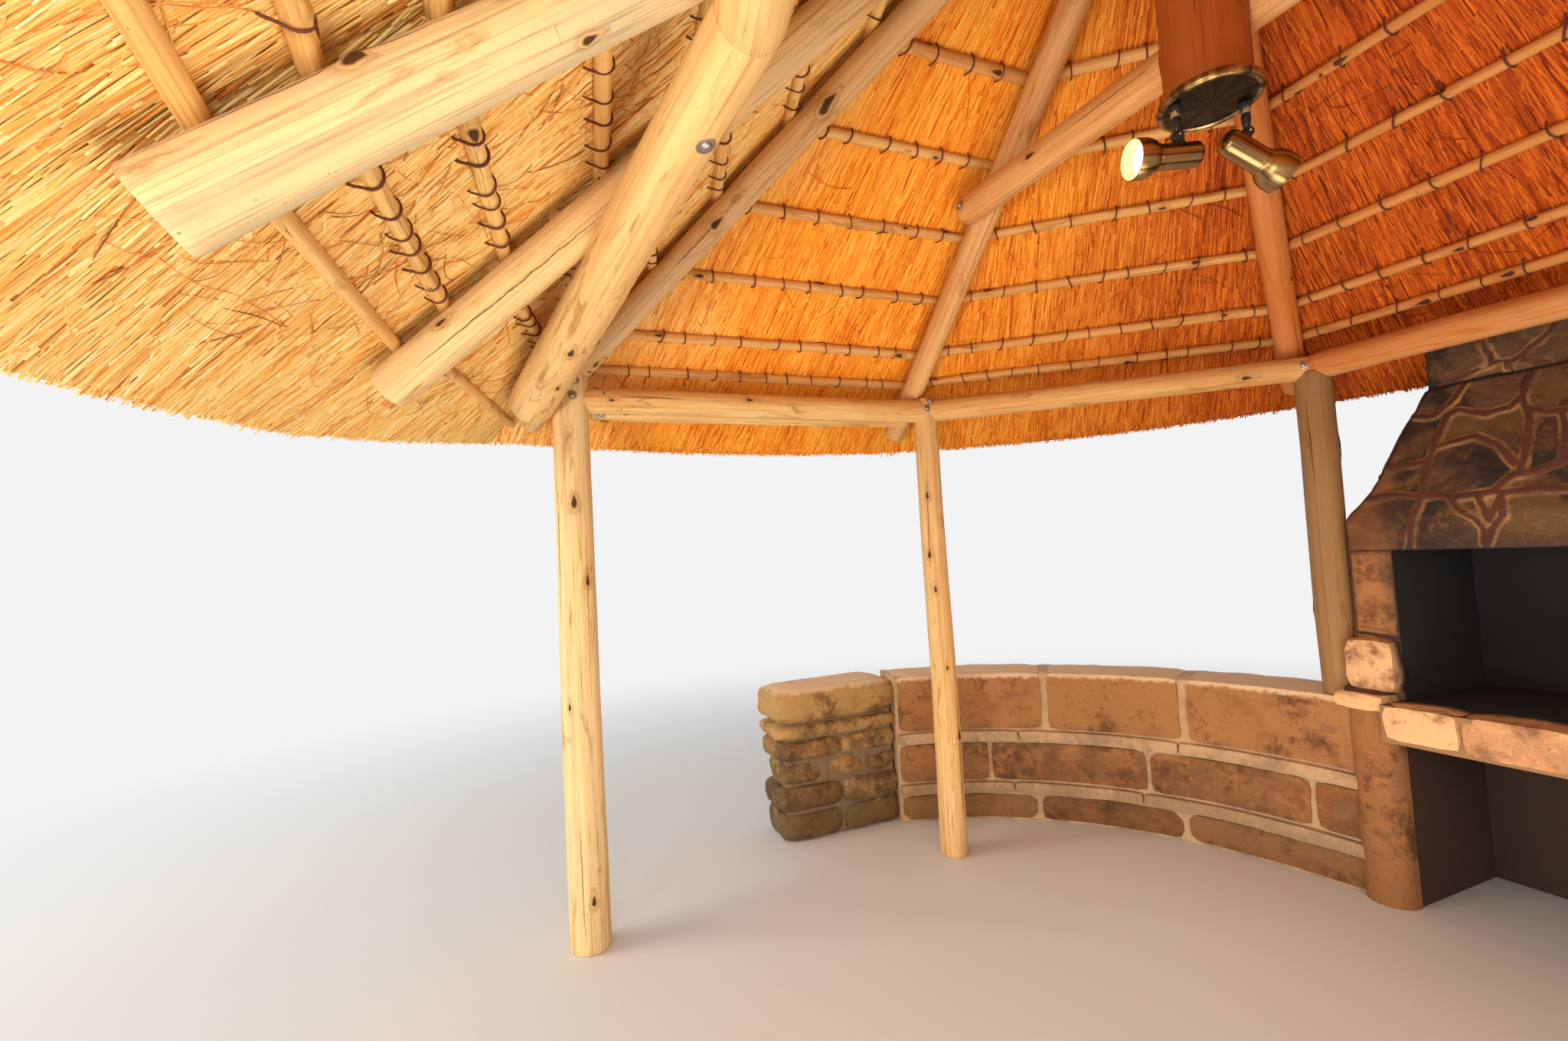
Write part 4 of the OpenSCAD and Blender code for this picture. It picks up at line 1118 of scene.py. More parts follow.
class SHELTER_OT_grass(bpy.types.Operator):
    """Combed grass: a soft skin under thousands of separate straws"""
    bl_idname = "shelter.grass"
    bl_label = "Combed grass"

    def execute(self, context):
        for g, name in enumerate(BAYS):
            batch = Batch()
            rng = np.random.default_rng(700 + g)
            for k, (a, b) in enumerate(BAYS[name]):
                self.skin(batch, a, b, rng, name == "back")
                # fewer straws where the photograph doesn't look
                far = a[1] > 0 or name == "right"
                self.underside(batch, a, b, rng, name == "front",
                               FAR_STRAWS if far else NEAR_STRAWS)
                self.strays(batch, a, b, rng, 50 if name != "front" else 110 if far else 300)
                self.outside(batch, a, b, rng, name == "back")
            ob = batch.make("grass_" + name, [FINISHES["grass"]])
            settle(ob, ROOT, "thatch", "thatch_" + name)
        return {"FINISHED"}

    @staticmethod
    def skin(batch, a, b, rng, back):
        """The closed skin of a bay with a shaggy eave."""
        nt = 44
        seed = int(rng.integers(1e6))
        tt = np.linspace(0, 1, nt + 1)
        # points and weathering of each stretch of the section
        split, grey = (26, 2, 3, 2, 26, 5), (0, 0.12, 0.45, 0.85, 1, 1)
        wet = np.append(np.repeat(grey, split), 1)
        rows = []
        for t in tt:
            pts = eave_point(a, b, t)
            rows.append([pts[s] * (1 - k / count) + pts[s + 1] * (k / count)
                         for s, count in enumerate(split) for k in range(count)] + [pts[-1]])
        co = np.array(rows)
        m = co.shape[1]
        dist = np.append(0, np.cumsum(np.linalg.norm(np.diff(co[nt // 2], axis=0), axis=1)))
        n, level, _ = bay_plane(a, b)
        span = co[:, split[0]] @ level
        gx = np.tile(span[:, None], (1, m)) * (0.25 + 0.75 * np.minimum(1, dist / dist.max() * 2.2))
        gy = np.tile(dist, (nt + 1, 1))
        rough = smooth_noise(gx * 30, gy * 7, seed)
        amount = np.where(np.arange(m) <= split[0], 0.0020, 0.006)
        amount[[0, 1, -2, -1]] = 0
        edge = np.sin(math.pi * tt) ** 0.25
        co = co + n * (rough * amount * edge[:, None])[..., None]
        if back:
            # kept out of the chimney stack
            inside = (np.abs(co[..., 0]) < STACK_X) & (co[..., 1] > STACK_Y0)
            co[..., 1] = np.where(inside, STACK_Y0, co[..., 1])
        tone = 0.42 + 0.2 * smooth_noise(gx * 80, gy * 3, seed + 1)
        faces = grid(nt + 1, m)
        if np.cross(co[0, split[0], :2], co[1, split[0], :2]) >= 0:
            faces = [(p, s, r, q) for p, q, r, s in faces]
        batch.add(co.reshape(-1, 3), faces, {
            "grain": np.stack([gx, gy, 0 * gx], -1).reshape(-1, 3), "tone": tone.ravel(),
            "weather": np.tile(wet, nt + 1)})

    @staticmethod
    def underside(batch, a, b, rng, front, density):
        """Straws on the underside, running downhill and ending raggedly at the eave."""
        sizes = bpy.context.scene.shelter_sizes
        n, level, down = bay_plane(a, b)
        apex = np.array([0, 0, APEX])
        pa, pb = bay_corners(a, b)
        area = 0.5 * np.linalg.norm(np.cross(pa, pb))
        count = int(area * density)
        r1, r2 = np.sqrt(rng.uniform(0.004, 1, count)), rng.uniform(0, 1, count)
        mid = apex + (1 - r2)[:, None] * r1[:, None] * pa + (r2 * r1)[:, None] * pb
        size = sizes.straw_length * rng.uniform(0.3, 1.0, count) ** 1.2
        lean = np.clip(rng.normal(0, 0.055, count), -0.2, 0.2)
        wild = rng.uniform(0, 1, count) < 0.03
        lean = np.where(wild, rng.uniform(-0.9, 0.9, count), lean)
        size = np.where(wild, size * 0.35, size)
        along = combed(straw_way(mid, n, front), n, lean)
        inv = np.linalg.inv(np.stack([pa, pb, n], 1))

        def inside(p, grow=0.0):
            w = (p - apex) @ inv.T
            return (w[:, 0] > 0) & (w[:, 1] > 0) & (w[:, 0] + w[:, 1] < 1.0 + grow)

        for _ in range(5):
            bad = ~(inside(mid - along * size[:, None] / 2)
                    & inside(mid + along * size[:, None] / 2, 0.006))
            size = np.where(bad, size * 0.7, size)
        # no stubs, and none under the ridge cap
        keep = (size > 0.06) & (((mid - apex) @ inv.T)[:, :2].sum(1) * np.linalg.norm(pa) > 0.30)
        mid, size, along = mid[keep], size[keep], along[keep]
        count = len(mid)
        width = sizes.straw_width * rng.uniform(0.55, 1.25, count)
        lift = np.stack([rng.uniform(-0.001, 0.002, count), rng.uniform(0.002, 0.0075, count)], 1)
        band = smooth_noise((mid @ level) * 34, (mid @ down) * 4, 11)
        # the front bays' straws are a little paler: painted light
        tone = np.clip(0.49 + 0.16 * band + rng.normal(0, 0.25, count) + (0.05 if front else 0), 0,
                       1)
        batch.add(*straws_mesh(mid, along, np.cross(n, along), -np.tile(n, (count, 1)), size, width,
                               tone, np.zeros(count), lift))
        # ragged lower edge
        edge = int(np.linalg.norm(pb - pa) * FRINGE_STRAWS)
        t = rng.uniform(0, 1, edge)
        foot = np.array([eave_point(a, b, x)[1] for x in t])
        lean = rng.normal(0, 0.10, edge)
        along = combed(straw_way(foot, n, front), n, lean)
        size = rng.uniform(0.10, 0.24, edge)
        reach = rng.uniform(-0.012, 0.014, edge)
        mid = foot - along * (size / 2)[:, None] + along * reach[:, None]
        tone = np.clip(0.55 + rng.normal(0, 0.25, edge), 0, 1)
        lift = np.stack([rng.uniform(0, 0.002, edge), rng.uniform(-0.001, 0.007, edge)], 1)
        batch.add(*straws_mesh(mid, along, np.cross(n, along), -np.tile(n, (edge, 1)), size,
                               sizes.straw_width * rng.uniform(0.5, 1.0, edge), tone,
                               np.zeros(edge), lift))

    @staticmethod
    def strays(batch, a, b, rng, count):
        """Thin brown stems that curl out of the combed grass."""
        n, level, down = bay_plane(a, b)
        apex = np.array([0, 0, APEX])
        pa, pb = bay_corners(a, b)
        inv = np.linalg.inv(np.stack([pa, pb, n], 1))
        k, sides = 7, 3
        for _ in range(count):
            r1, r2 = math.sqrt(rng.uniform(0.06, 0.88)), rng.uniform(0.06, 0.94)
            at = apex + pa * (1 - r2) * r1 + pb * r2 * r1
            size = rng.uniform(0.06, 0.30)
            most = 1.5 if rng.uniform() < 0.6 else 3.1
            turn = rng.uniform(-most, most)
            curl, high = rng.normal(0, 3.2), rng.uniform(0.004, 0.016)
            run = np.linspace(0, size, k)
            ang = turn + curl * run + rng.normal(0, 0.15) * np.sin(run * 25)
            step = size / (k - 1)
            x, y = (column(np.append(0, np.cumsum(f(ang[:-1])) * step)) for f in (np.cos, np.sin))
            hang = column(0.003 + high * np.sin(run / size * math.pi))
            line = at + down * x + level * y - n * hang
            w = (line - apex) @ inv.T
            if (w[:, 0] < 0.03).any() or (w[:, 1] < 0.03).any() or (w[:, 0] + w[:, 1] > 0.97).any():
                continue
            thick = rng.uniform(0.0009, 0.0017)
            side = -down * np.sin(ang)[:, None] + level * np.cos(ang)[:, None]
            grain = np.zeros((k * sides, 3))
            grain[:, 0], grain[:, 1] = rng.uniform(0, 40), np.repeat(run, sides)
            batch.add(tube(line, side[:, None], n, thick, circle(sides)), grid(k, sides, True), {
                "grain": grain, "tone": np.full(len(grain), rng.uniform(0.0, 0.22)),
                "weather": np.zeros(len(grain))})

    @staticmethod
    def outside(batch, a, b, rng, back):
        """Weathered straws on top and cut ends on the eave face."""
        sizes = bpy.context.scene.shelter_sizes
        _, _, down = bay_plane(a, b)
        pa, pb = bay_corners(a, b)
        wide = np.linalg.norm(pa - pb)
        count = int(wide * TOP_STRAWS)
        t = rng.uniform(0, 1, count)
        f = 1 - np.sqrt(rng.uniform(0, 0.92, count))
        secs = [eave_point(a, b, x) for x in t]
        lo = np.array([s[4] for s in secs])
        hi = np.array([s[5] for s in secs])
        mid = lo * (1 - f)[:, None] + hi * f[:, None]
        slope = unit(lo - hi)
        flat = unit(np.cross(slope, (0, 0, 1.0)))
        up = np.cross(flat, slope)
        up = np.where(up[:, 2:] < 0, -up, up)
        lean = rng.normal(0, 0.10, count)
        along = slope * np.cos(lean)[:, None] + flat * np.sin(lean)[:, None]
        size = rng.uniform(0.05, 0.20, count)
        width = sizes.straw_width * rng.uniform(0.6, 1.3, count)
        tone = np.clip(0.5 + rng.normal(0, 0.27, count), 0, 1)
        lift = np.stack([rng.uniform(-0.003, 0.002, count), rng.uniform(0.002, 0.012, count)], 1)
        keep = clear_of_stack(mid) if back else np.ones(count, bool)
        batch.add(*straws_mesh(*(x[keep] for x in (mid, along, np.cross(up, along), up, size, width,
                                                   tone, np.ones(count), lift))))
        # cut ends on the eave face
        count = int(wide * CUT_STRAWS)
        t, f = rng.uniform(0, 1, count), rng.uniform(0, 1, count)
        secs = [eave_point(a, b, x) for x in t]
        pts = np.array([np.array(s[2]) * (1 - y) + np.array(s[3]) * y for s, y in zip(secs, f)])
        face = unit(np.array([s[2] - s[1] for s in secs]) * (1, 1, 0))
        along = unit(face * 0.75 + down * 0.66 + rng.normal(0, 0.08, (count, 3)))
        size = rng.uniform(0.03, 0.07, count)
        mid = pts + along * (rng.uniform(-0.002, 0.010, count) - size / 2)[:, None]
        side = unit(np.cross(along, (0, 0, 1.0)))
        width = sizes.straw_width * rng.uniform(0.6, 1.1, count)
        tone = np.clip(0.45 + rng.normal(0, 0.3, count), 0, 1)
        keep = clear_of_stack(pts) if back else np.ones(count, bool)
        batch.add(*straws_mesh(*(x[keep] for x in (mid, along, side, np.cross(side, along), size,
                                                   width, tone, 0.35 + 0.6 * f,
                                                   np.zeros((count, 2))))))


class SHELTER_OT_cap(bpy.types.Operator):
    """Trowelled mortar cap over the top of the grass"""
    bl_idname = "shelter.cap"
    bl_label = "Ridge cap"

    def execute(self, context):
        cone_z = SEAT_Z - 0.25 * 0.70
        path = ([(r, cone_z + z) for r, z in ((0.502, 0.006), (0.540, -0.022), (0.547, -0.008),
                                              (0.538, 0.012), (0.51, 0.034))]
                + [(r, SEAT_Z + z) for r, z in ((0.42, -0.040), (0.33, 0.020), (0.25, 0.070),
                                                (0.185, 0.115), (0.12, 0.156), (0.06, 0.184),
                                                (0.02, 0.1895))])
        n = 96
        ang = circle(n)
        rows = []
        for k, (r, z) in enumerate(path):
            wob = 0.006 * smooth_noise(3 * np.cos(ang) * r * 3, 3 * np.sin(ang) * r * 3,
                                       5) * (r > 0.1)
            rim = 0.007 * smooth_noise(np.cos(ang) * 7, np.sin(ang) * 7, 8) * (1 <= k <= 3)
            rows.append(np.stack([(r + rim) * np.sin(ang), (r + rim) * np.cos(ang),
                                  z + wob + 0 * ang], 1))
        co = np.vstack(rows + [np.array([[0, 0, SEAT_Z + 0.190]])])
        faces = grid(len(path), n, True)
        last = (len(path) - 1) * n
        faces += [(last + i, last + (i + 1) % n, len(co) - 1) for i in range(n)]
        ob = tidy_mesh("mortar_cap", co, turned_over(faces), [FINISHES["cap"]])
        settle(ob, ROOT, "mortar_cap", "ridge_cap")
        return {"FINISHED"}


# ---- stone ----
def block(batch, place, u0, u1, z0, z1, w0, w1, seed, mortar=0.0, rough=0.007, soft=0.018,
          tone=None):
    """One rough stone. place(u, z, w) gives the point; w grows outward."""
    rng = np.random.default_rng(seed)
    # faces of a box, each cut into a grid: most cells along an edge, and their size
    dims = [max(3, min(most, int(size / cell))) for size, most, cell in (
        (u1 - u0, 14, 0.05), (z1 - z0, 9, 0.045), (w1 - w0, 8, 0.06))]
    index, faces = {}, []
    for axis in range(3):
        a, b = [x for x in range(3) if x != axis]
        for end in (0, dims[axis]):
            for i in range(dims[a]):
                for j in range(dims[b]):
                    quad = []
                    for di, dj in ((0, 0), (1, 0), (1, 1), (0, 1)):
                        c = [0, 0, 0]
                        c[axis], c[a], c[b] = end, i + di, j + dj
                        quad.append(index.setdefault(tuple(c), len(index)))
                    good = (end == 0) ^ (axis == 1)
                    faces.append(tuple(quad[::-1] if good else quad))
    f = np.array(list(index), float) / np.array(dims)
    lo, hi = np.array([u0, z0, w0]), np.array([u1, z1, w1])
    x = lo + f * (hi - lo)
    # rounded edges: pull each point near two faces inward
    d = np.minimum(f, 1 - f) * (hi - lo)
    pull = np.clip(1 - d / soft, 0, 1)
    total = pull.sum(1)
    centre = (lo + hi) / 2
    edge = np.clip(total - 1, 0, 2)[:, None]
    x = x + np.sign(centre - x) * pull * edge * soft * 0.42
    a = smooth_noise(x[:, 0] * 13 + x[:, 2] * 8, x[:, 1] * 15, seed)
    b = smooth_noise(x[:, 0] * 31, x[:, 1] * 29 + x[:, 2] * 22, seed + 1)
    face = (f[:, 2] >= 0.999) | (f[:, 2] <= 0.001)
    x[:, 2] += np.where(face, (a * rough + b * rough * 0.45) * np.where(f[:, 2] > 0.5, 1, -1), 0)
    top = f[:, 1] >= 0.999
    x[:, 1] += np.where(top, a * rough * 0.5, 0)
    x[:, 0] += np.where((f[:, 0] <= 0.001) | (f[:, 0] >= 0.999), b * rough * 0.8, 0)
    co = np.array([place(*p) for p in x])
    tone = rng.uniform(0, 1) if tone is None else tone
    batch.add(co, faces, {"stone": np.full(len(co), tone), "mortar": np.full(len(co), mortar)})


ARC = Vector((-0.610, -0.190, 0))
WALL_R, WALL_T = 1.755, 0.300
WALL_A0, WALL_A1 = math.radians(88), math.radians(167)
COURSES = (0.18 * WALL_H, 0.26 * WALL_H, 0.53 * WALL_H, 0.61 * WALL_H)
# a tone over 1.2 tells the finish that a stone is a pale ledge
LEDGE_TONE = 1.6


class SHELTER_OT_wall(bpy.types.Operator):
    """Low curved wall of coursed sandstone blocks with thin ledge courses"""
    bl_idname = "shelter.low_wall"
    bl_label = "Low wall"

    def execute(self, context):
        h1, h2, h3, h4 = COURSES
        mid = WALL_R + WALL_T / 2
        for side, tag in ((-1, "l"), (1, "r")):
            def place(u, z, w):
                ang = WALL_A1 - u / mid
                r = WALL_R + w
                return (-side * (ARC.x + r * math.cos(ang)), ARC.y + r * math.sin(ang), z)

            def flipped(u, z, w):
                return place(u, z, WALL_T - w)

            total = mid * (WALL_A1 - WALL_A0) - 0.10
            way = place if side < 0 else flipped
            stones = Batch()
            rng = np.random.default_rng(31 if side < 0 else 32)
            # the mortar core, a little behind the stones
            n = 60
            ring = [(0.008, 0.0), (0.008, WALL_H - 0.014), (0.016, WALL_H - 0.003),
                    (WALL_T - 0.016, WALL_H - 0.003), (WALL_T - 0.008, WALL_H - 0.014),
                    (WALL_T - 0.008, 0.0)]
            co = [place(min(total + 0.02, total * i / n * 1.01),
                        z + 0.003 * math.sin(i * 1.7 + z * 9), w)
                  for i in range(n + 1) for w, z in ring]
            faces = grid(n + 1, len(ring)) + [tuple(reversed(range(len(ring))))]
            stones.add(np.array(co), turned_over(faces) if side > 0 else faces,
                       {"stone": np.full(len(co), 0.5), "mortar": np.ones(len(co))})
            # low and high edge, shortest and longest stone, how far it stands out, joint
            rows = ((0.0, h1, 0.55, 0.9, 0.0, 0.014), (h1, h2, 0.7, 1.2, 0.022, 0.004),
                    (h2, h3, 0.45, 0.9, 0.004, 0.012), (h3, h4, 0.7, 1.3, 0.022, 0.004),
                    (h4, WALL_H + 0.004, 0.50, 0.98, 0.006, 0.030))
            for row, (z0, z1, small, large, out, gap) in enumerate(rows):
                ledge = row % 2 == 1
                joint = 0.001 if ledge else 0.003
                u = 0.0
                while u < total - 0.12:
                    size = rng.uniform(small, large)
                    if total - u - size < 0.25:
                        size = total - u
                    block(stones, way, u + gap / 2, min(u + size, total) - gap / 2, z0 + joint,
                          z1 - (0 if row == 4 else joint), -out - 0.004, WALL_T + out + 0.004,
                          int(rng.integers(1e6)), rough=0.003 if ledge else 0.007,
                          soft=0.009 if ledge else 0.016, tone=LEDGE_TONE if ledge else None)
                    u += size
            ob = stones.make("wall_stones_" + tag, [FINISHES["wall"]], 60)
            settle(ob, ROOT, "wall_stone", "wall_" + tag)
        return {"FINISHED"}


class SHELTER_OT_piers(bpy.types.Operator):
    """End piers of stacked slabs under a thick rounded cap stone"""
    bl_idname = "shelter.end_piers"
    bl_label = "End piers"

    def execute(self, context):
        for side, tag in ((-1, "l"), (1, "r")):
            lo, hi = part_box(f"pier_{tag}_end")
            batch = Batch()

            def place(u, z, w):
                return (u, lo.y + w, z)

            deep = hi.y - lo.y
            rows = ((0.0, 0.155, 0.030, 2), (0.160, 0.300, 0.016, 2), (0.304, 0.430, 0.040, 3),
                    (0.434, 0.552, 0.022, 2), (0.556, 0.640, 0.006, 1),
                    (0.646, WALL_H - 0.004, -0.002, 1))
            for k, (z0, z1, inset, count) in enumerate(rows):
                cap = k == len(rows) - 1
                cuts = [inset + (deep - inset - 0.01) * m / count for m in range(count + 1)]
                for m, (w0, w1) in enumerate(zip(cuts, cuts[1:])):
                    block(batch, place, lo.x + inset, hi.x - inset, z0, z1,
                          w0 + (0.003 if m else 0), w1, (71 + side) * 17 + k * 5 + m,
                          rough=0.010 if cap else 0.013, soft=0.046 if cap else 0.024)
            # the mortar behind the joints
            block(batch, place, lo.x + 0.05, hi.x - 0.05, 0.0, WALL_H - 0.06, 0.06, deep - 0.03, 5,
                  mortar=1.0, rough=0.002)
            ob = batch.make("pier_stones_" + tag, [FINISHES["pier"]], 60)
            settle(ob, ROOT, "wall_stone", f"pier_{tag}_end")
        return {"FINISHED"}


# joints between the stones of the hood's front, as (x, z) points on its left half
HOOD_JOINTS = (
    ((-0.75, 1.688), (-0.533, 1.705), (-0.44, 1.701), (-0.344, 1.690), (-0.202, 1.685),
     (0.0, 1.681)),
    ((-0.202, 1.697), (-0.159, 1.738), (-0.11, 1.748), (0.02, 1.79)),
    ((-0.379, 2.007), (-0.392, 1.907), (-0.419, 1.822), (-0.432, 1.711), (-0.45, 1.59),
     (-0.48, 1.45)),
    ((-0.344, 1.69), (-0.318, 1.64), (-0.261, 1.597), (-0.243, 1.556), (-0.246, 1.45)),
    ((-0.19, 1.68), (-0.185, 1.603), (-0.214, 1.565), (-0.236, 1.50)),
    ((-0.262, 1.69), (-0.223, 1.594), (-0.190, 1.675)),
    ((-0.62, 2.05), (-0.513, 2.036), (-0.423, 2.017), (-0.37, 2.062), (-0.337, 2.123),
     (-0.30, 2.30)),
    ((-0.379, 2.007), (-0.338, 2.03), (-0.254, 1.996), (-0.192, 2.004), (-0.153, 2.041),
     (-0.118, 2.223)),
    ((-0.153, 2.037), (-0.137, 1.955), (-0.134, 1.851), (-0.139, 1.745)),
    ((-0.139, 1.992), (-0.088, 1.965), (0.02, 1.96)),
    ((-0.045, 1.96), (-0.037, 1.785)),
    ((-0.62, 1.845), (-0.52, 1.83), (-0.415, 1.838)),
    ((-0.40, 1.88), (-0.344, 1.899), (-0.279, 1.909), (-0.213, 1.865), (-0.155, 1.783)))


def joint_distance(x, z, joints):
    """Distance of points to the nearest of several polylines."""
    best = np.full(len(x), 9.0)
    for line in joints:
        for (ax, az), (bx, bz) in zip(line, line[1:]):
            ux, uz = bx - ax, bz - az
            t = np.clip(((x - ax) * ux + (z - az) * uz) / (ux * ux + uz * uz), 0, 1)
            best = np.minimum(best, np.hypot(x - ax - t * ux, z - az - t * uz))
    return best


def stone_field(u, v, seed, size, ribbon, joints=None):
    """Irregular stones over a plane: ribbon mask, stone tone and height at each point."""
    rng = np.random.default_rng(seed)
    u0, u1, v0, v1 = u.min() - 0.3, u.max() + 0.3, v.min() - 0.3, v.max() + 0.3
    pts = []
    for _ in range(2500):
        x, y = rng.uniform(u0, u1), rng.uniform(v0, v1)
        if all(((x - a) / 1.12) ** 2 + ((y - b) / 0.88) ** 2 > (size * 0.78) ** 2 for a, b in pts):
            pts.append((x, y))
    pts = np.array(pts)
    tones = rng.uniform(0, 1, len(pts))
    # stones have slightly wavy sides
    wu = u + 0.012 * smooth_noise(v * 22, u * 12, seed + 3)
    wv = v + 0.012 * smooth_noise(u * 20, v * 14, seed + 4)
    d = np.sqrt((wu[:, None] - pts[:, 0]) ** 2 + ((wv[:, None] - pts[:, 1]) * 1.15) ** 2)
    order = np.argsort(d, 1)[:, :2]
    d1 = np.take_along_axis(d, order[:, :1], 1)[:, 0]
    d2 = np.take_along_axis(d, order[:, 1:], 1)[:, 0]
    apart = np.linalg.norm(pts[order[:, 0]] - pts[order[:, 1]], axis=1)
    edge = (d2 ** 2 - d1 ** 2) / (2 * apart)
    if joints:
        # the right half follows the left one, a little differently
        ju = -np.abs(u) + 0.010 * smooth_noise(v * 15 + (u > 0) * 5, u * 15, seed + 7)
        jv = v + 0.010 * smooth_noise(u * 13, v * 17, seed + 8) + np.maximum(u, 0) * 0.12
        edge = joint_distance(ju, jv, joints)
    half = ribbon / 2
    band = np.clip((half + 0.004 - edge) / 0.008, 0, 1)
    band = band * band * (3 - 2 * band)
    mask = np.clip(1.15 - edge / (half + 0.004) * 0.85, 0, 1)
    hump = 0.004 * np.clip((edge - half) / 0.05, 0, 1)
    rough = 0.004 * smooth_noise(u * 17, v * 19,
                                 seed + 5) + 0.002 * smooth_noise(u * 47, v * 51, seed + 6)
    lean = tones[order[:, 0]] * 0.005
    height = 0.004 + (hump + rough + lean) * (1 - band) + 0.0085 * band
    return mask, tones[order[:, 0]], height


# grids of the stone faces: where the photograph looks, and where it doesn't
FINE_GRID, COARSE_GRID = 0.0135, 0.018


def stone_panel(batch, corners, seed, size, ribbon, step=FINE_GRID, smoke=None, joints=None):
    """A stone face between rows of two points, from its low edge up; two rows or more."""
    rows = [(np.array(a, float), np.array(b, float)) for a, b in corners]
    wide = max(np.linalg.norm(b - a) for a, b in rows)
    mids = [(a + b) / 2 for a, b in rows]
    runs = [np.linalg.norm(q - p) for p, q in zip(mids, mids[1:])]
    tall = sum(runs)
    nu = max(2, int(wide / step))
    s = np.linspace(0, 1, nu + 1)
    co, normal, level = [], [], []
    done = 0
    for k, run in enumerate(runs):
        nv = max(2, int(run / step))
        (a, b), (c, d) = rows[k], rows[k + 1]
        n = np.cross(b - a, (c + d - a - b) / 2)
        n /= np.linalg.norm(n)
        for t in np.linspace(0, 1, nv + 1)[(0 if k == 0 else 1):]:
            lo, hi = a + (c - a) * t, b + (d - b) * t
            co.append(lo + (hi - lo) * s[:, None])
            normal.append(np.tile(n, (nu + 1, 1)))
            level.append(done + run * t)
        done += run
    m = len(co)
    co, normal = np.array(co).reshape(-1, 3), np.array(normal).reshape(-1, 3)
    ax = (rows[0][1] - rows[0][0]) / np.linalg.norm(rows[0][1] - rows[0][0])
    level = np.repeat(level, nu + 1)
    u, v = (co[:, 0], co[:, 2]) if joints else ((co - rows[0][0]) @ ax, level)
    mask, tone, height = stone_field(u, v, seed, size, ribbon, joints)
    s = np.tile(s, m)
    rim = np.minimum(np.minimum(s, 1 - s) * wide, np.minimum(level, tall - level))
    height = height * (0.55 + 0.45 * np.clip(rim / 0.012, 0, 1)) - np.where(rim < 1e-6, 0.010, 0)
    co = co + normal * height[:, None]
    dark = np.zeros(len(co)) if smoke is None else smoke(co)
    batch.add(co, grid(m, nu + 1), {"stone": tone, "ribbon": mask, "smoke": dark})


JAMB_JOINTS = (((-0.72, 1.128), (-0.52, 1.118)),)
FIRE_W, HEARTH_Z, FIRE_H, JAMB_Y = 0.540, 0.850, 0.630, 1.605
BASE_X, STORE_X, HOOD_X, BACK_Y = 0.740, 0.570, 0.695, 2.672
STACK_X, STACK_Y0, STACK_Y1, HOOD_TOP, STACK_TOP = 0.450, 1.800, 2.419, 2.150, 4.500
LINTEL_Z = HEARTH_Z + FIRE_H + 0.130
# half width, front, back and height of the hood's outline, from the lintel up
HOOD_LINE = ((HOOD_X, JAMB_Y, BACK_Y, HEARTH_Z + FIRE_H), (HOOD_X, JAMB_Y, BACK_Y, LINTEL_Z),
             (HOOD_X - 0.089, JAMB_Y + 0.035, BACK_Y - 0.060, HEARTH_Z + FIRE_H + 0.250),
             (STACK_X, STACK_Y0, STACK_Y1, HOOD_TOP))


def fire_smoke(co):
    """How sooty a point near the fire opening is."""
    x, z = np.abs(co[:, 0]), co[:, 2]
    d = (np.maximum(x - FIRE_W, 0) + np.maximum(z - (HEARTH_Z + FIRE_H), 0) * 0.8
         + np.maximum(HEARTH_Z - z, 0))
    return np.clip(0.55 - d / 0.16, 0, 0.55) * (co[:, 1] < 1.75)


